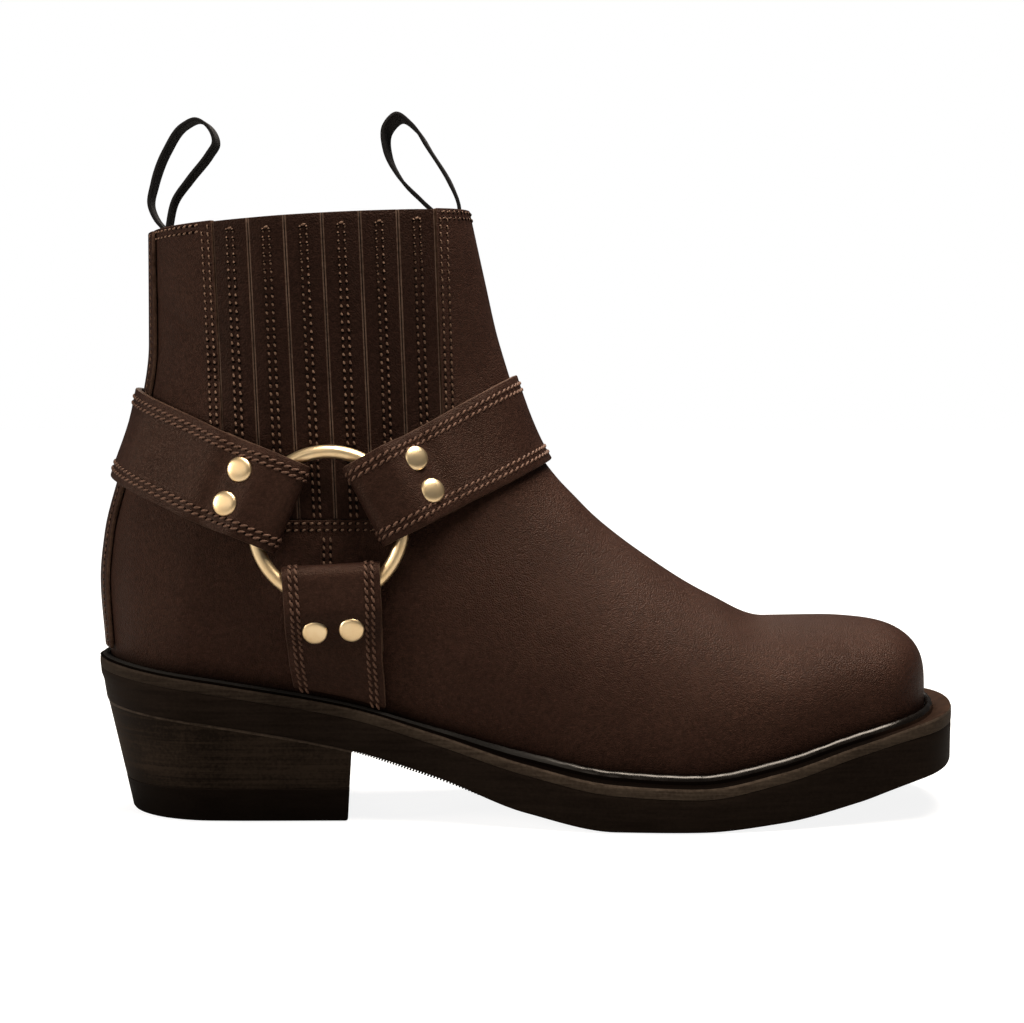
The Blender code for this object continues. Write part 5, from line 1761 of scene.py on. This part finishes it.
def make_rib_tree():
    """Bars along a line under the arch, each as long as the sole is wide there."""
    inputs = {"Geometry": GEOMETRY, "Bar": OBJECT, "Pitch": FLOAT, "Finish": MATERIAL}
    tree, get, result = new_tree("GeometryNodeTree", "arch_ribs", inputs, {"Geometry": GEOMETRY})
    points, facing = points_along(tree, get)
    wide = add_node(tree, "GeometryNodeInputNamedAttribute", {"Name": "wide"}, data_type="FLOAT")
    sizes = {"X": 1.0, "Y": wide.outputs["Attribute"], "Z": 1.0}
    copies = {
        "Points": points,
        "Instance": add_node(tree, "GeometryNodeObjectInfo", {"Object": get["Bar"]}).outputs["Geometry"],
        "Rotation": facing,
        "Scale": add_node(tree, "ShaderNodeCombineXYZ", sizes).outputs[0],
    }
    end_tree(tree, result, copies, get["Finish"])
    return tree


def build_ribs():
    bar = rib_bar()
    x = np.linspace(RIB_FROM, RIB_TO, 120)
    lateral = station("lateral", x) - RIB_INSET
    medial = station("medial", x) - RIB_INSET
    points = np.stack([x, swing(x) + 0.5 * (medial - lateral), outsole_bottom(x) + RIB_SINK], axis=1)
    outs = np.tile([0.0, 0.0, -1.0], (len(x), 1))
    values = {"Bar": bar, "Pitch": RIB_PITCH * MM, "Finish": RUBBER}
    run_tree(
        "arch_ribs", [(points, outs)], make_rib_tree(), values, sharp=50.0, wide=lateral + medial
    )
    bpy.data.objects.remove(bar, do_unlink=True)


def heel_ring(height, inset):
    """Outline of the heel: round behind, straight at the breast."""
    along = np.linspace(0.0, 0.5 * math.pi, 90)
    base = HEEL_BREAST * (1.0 - np.cos(along))
    down = 1.0 - height(base) / HEEL_TOP_Z
    rear = HEEL_REAR + inset + HEEL_REAR_SLOPE * down
    breast = HEEL_BREAST + 1.0 - HEEL_BREAST_LEAN * down - inset
    x = rear + (breast - rear) * base / HEEL_BREAST
    left = np.sqrt(np.clip(1.0 - np.clip(1.0 - base / SOLE_HEEL_ROUND, 0.0, None) ** 2, 0.0, None))
    taper = HEEL_SIDE_IN + inset + HEEL_SIDE_SLOPE * down
    lateral = (station("lateral", base) - taper) * left
    medial = (station("medial", base) - taper) * left
    share = base / HEEL_BREAST
    near_x = x + HEEL_BREAST_SKEW * share * lateral
    far_x = x - HEEL_BREAST_SKEW * share * medial
    near = np.stack([near_x, -lateral, height(near_x)], axis=1)
    far = np.stack([far_x, medial, height(far_x)], axis=1)
    return np.concatenate([near, far[:0:-1]])


def build_heel():
    def level(z):
        return lambda x: 0.0 * x + z

    def under_sole(down):
        return lambda x: outsole_bottom(x) - HEEL_SEAT_GAP - down

    top = HEEL_LIFT_HIGH
    steps = ((0.0, 0.9), (0.25, 0.35), (0.9, 0.0), (top, 0.0), (top + GAP + 0.1, 0.3))
    lift = [heel_ring(level(z), inset) for z, inset in steps]
    settle(ring_piece("wear_layer", lift, [LIFT_RUBBER], [0] * 5), ["heel_lift"], sharp=35.0)
    block = [heel_ring(level(top + GAP), 0.25), heel_ring(level(top + GAP + 0.4), 0.05)]
    block += [heel_ring(under_sole(0.5), 0.0), heel_ring(under_sole(0.4), -0.05)]
    block += [heel_ring(under_sole(0.05), -0.05), heel_ring(under_sole(-HEEL_SEAT_GAP - 0.1), 0.1)]
    piece = ring_piece("stacked_block", block, [HEEL_STACK, HEEL_RIM], [0, 0, 0, 1, 1, 0])
    settle(piece, ["heel_block"], sharp=35.0)


def build_insole():
    inner = spread(upper_ring(0.0), -(WALL + 1.0))
    rings = [
        at_height(inner, welt_top, GAP),
        at_height(inner, welt_top, GAP + INSOLE_THICK - 0.9),
        at_height(spread(inner, -0.35), welt_top, GAP + INSOLE_THICK - 0.25),
        at_height(spread(inner, -1.1), welt_top, GAP + INSOLE_THICK),
    ]
    settle(ring_piece("insole_board", rings, [INSOLE_HIDE], [0] * 4), ["insole"], sharp=40.0)


# Pull loops

Bend = namedtuple("Bend", "name x z")
LOOP_REAR = [
    Bend("tail", 24.5, 184.0),
    Bend("collar", 24.4, 201.6),
    Bend("over the edge", 21.8, 204.8),
    Bend("back", 19.7, 210.0),
    Bend("rise", 20.9, 217.0),
    Bend("shoulder", 25.4, 228.8),
    Bend("crest", 31.6, 237.4),
    Bend("top", 36.2, 239.4),
    Bend("turn", 40.6, 236.6),
    Bend("front", 42.4, 231.4),
    Bend("fold", 40.2, 227.6),
    Bend("inner", 33.2, 218.8),
    Bend("low", 28.0, 211.4),
    Bend("inside", 26.1, 203.6),
    Bend("inner tail", 26.1, 184.0),
]
LOOP_FRONT = [
    Bend("tail", 130.5, 188.0),
    Bend("collar", 127.2, 204.6),
    Bend("front", 126.9, 210.0),
    Bend("rise", 124.0, 217.4),
    Bend("side", 116.7, 229.2),
    Bend("shoulder", 111.6, 236.8),
    Bend("crest", 106.2, 240.4),
    Bend("turn", 102.1, 236.4),
    Bend("back", 102.2, 228.0),
    Bend("inner", 106.4, 219.5),
    Bend("low", 114.2, 211.4),
    Bend("inside", 123.8, 202.0),
    Bend("inner tail", 128.8, 188.0),
]
Loop = namedtuple("Loop", "name node bends yaw roll")
LOOPS = [
    Loop("ribbon_rear", "pull_loop_rear", LOOP_REAR, 3.0, 0.0),
    Loop("ribbon_front", "pull_loop_front", LOOP_FRONT, 12.0, -12.0),
]


def build_loops():
    steps, wide = 160, 7
    for loop in LOOPS:
        x = column(loop.bends, "x")
        z = column(loop.bends, "z")
        along = path_length(x, z)
        at = np.linspace(0.0, along[-1], steps)
        path = np.stack([rounded(along, x, at), 0.0 * at, rounded(along, z, at)], axis=1)
        free = ease((path[:, 2] - COLLAR_FRONT_Z) / 16.0)
        yaw = np.radians(loop.yaw * free)
        roll = np.radians(loop.roll * free)
        ribbon = np.stack([np.sin(yaw), np.cos(yaw), np.sin(roll)], axis=1) * LOOP_WIDE
        share = np.linspace(-0.5, 0.5, wide)
        grid = path[:, None, :] + ribbon[:, None, :] * share[None, :, None]
        piece = new_piece(loop.name, grid.reshape(-1, 3), sheet_faces(steps, wide), [RIBBON] * 3)
        set_run(piece, steps, wide, along[-1], LOOP_WIDE)
        thicken(piece, LOOP_THICK, 0.0, 0.3)
        settle(piece, [loop.node])


# Floor, lights and camera

CAMERA_FAR = 0.696
CAMERA_HIGH = 0.147
CAMERA_STATION = 145.4
CAMERA_PITCH = 3.6
CAMERA_LENS = 69.64
CAMERA_SENSOR = 36.0
FLOOR_HALF = 6.0
FLOOR_GAP = 0.0005
FLOOR_GREY = (0.28, 0.28, 0.28)
WORLD_DIM = 0.045
LAMP_COLOUR = (1.0, 0.90, 0.80)
LIT_POINT = Vector((0.10, 0.0, 0.09))
Light = namedtuple("Light", "name x y z wide high power")
LIGHTS = [
    Light("overhead", 0.18, 0.03, 0.92, 1.15, 0.42, 31.0),
    Light("left_front", -1.00, -0.32, 0.42, 0.5, 0.45, 9.0),
    Light("front_card", -0.55, -1.10, 0.55, 1.0, 0.6, 2.4),
    Light("behind", -0.1, 0.95, 0.5, 0.6, 0.4, 1.2),
]


def seen_by_camera(tree):
    return add_node(tree, "ShaderNodeLightPath").outputs["Is Camera Ray"]


def build_floor():
    """Floor that is white to the camera, a little greyer near the boot, and dim to the leather."""
    material, tree, shader = plain_material("pale_floor", FLOOR_GREY, 0.8, specular=0.05)
    ends = {0: object_place(tree), 1: (0.1, 0.0, 0.0)}
    away = add_node(tree, "ShaderNodeVectorMath", ends, operation="DISTANCE").outputs["Value"]
    span = {"Value": away, "From Min": 0.16, "From Max": 0.6, "To Min": 0.88, "To Max": 1.0}
    pale = add_node(tree, "ShaderNodeMapRange", span).outputs["Result"]
    glow = math_node(tree, "MULTIPLY", seen_by_camera(tree), pale)
    feed(tree, shader, {"Emission Color": (*WHITE, 1.0), "Emission Strength": glow})
    mesh = bpy.data.meshes.new("floor")
    corners = [(FLOOR_HALF * x, FLOOR_HALF * y, 0.0) for x, y in ((-1, -1), (1, -1), (1, 1), (-1, 1))]
    mesh.from_pydata(corners, [], [(0, 1, 2, 3)])
    mesh.materials.append(material)
    floor = add_object("floor", mesh)
    floor.location = (0.0, 0.0, -FLOOR_GAP)


def build_world():
    world = bpy.data.worlds.new("studio")
    world.use_nodes = True
    tree = world.node_tree
    glow = math_node(tree, "MULTIPLY_ADD", seen_by_camera(tree), 1.0 - WORLD_DIM, WORLD_DIM)
    feed(tree, tree.nodes["Background"], {"Color": (*WHITE, 1.0), "Strength": glow})
    bpy.context.scene.world = world
    bpy.context.scene.view_settings.view_transform = "Standard"


def build_lights():
    for light in LIGHTS:
        data = bpy.data.lights.new(light.name, "AREA")
        data.shape = "RECTANGLE"
        data.size = light.wide
        data.size_y = light.high
        data.energy = light.power
        data.color = LAMP_COLOUR
        lamp = add_object(light.name, data)
        lamp.location = (light.x, light.y, light.z)
        lamp.rotation_euler = (LIT_POINT - lamp.location).to_track_quat("-Z", "Y").to_euler()


def build_camera():
    data = bpy.data.cameras.new("photo_camera")
    data.lens = CAMERA_LENS
    data.sensor_width = CAMERA_SENSOR
    data.clip_start = 0.01
    camera = add_object("photo_camera", data)
    camera.location = (CAMERA_STATION * MM - ORIGIN[0] * MM, -CAMERA_FAR, CAMERA_HIGH)
    camera.rotation_euler = (math.radians(90.0 - CAMERA_PITCH), 0.0, 0.0)
    bpy.context.scene.camera = camera


build_upper()
build_gores()
build_seam_lips()
build_back_stay()
build_straps()
build_rings()
build_thread()
build_rivets()
build_welt()
build_outsole()
build_ribs()
build_heel()
build_insole()
build_loops()
build_floor()
build_world()
build_lights()
build_camera()
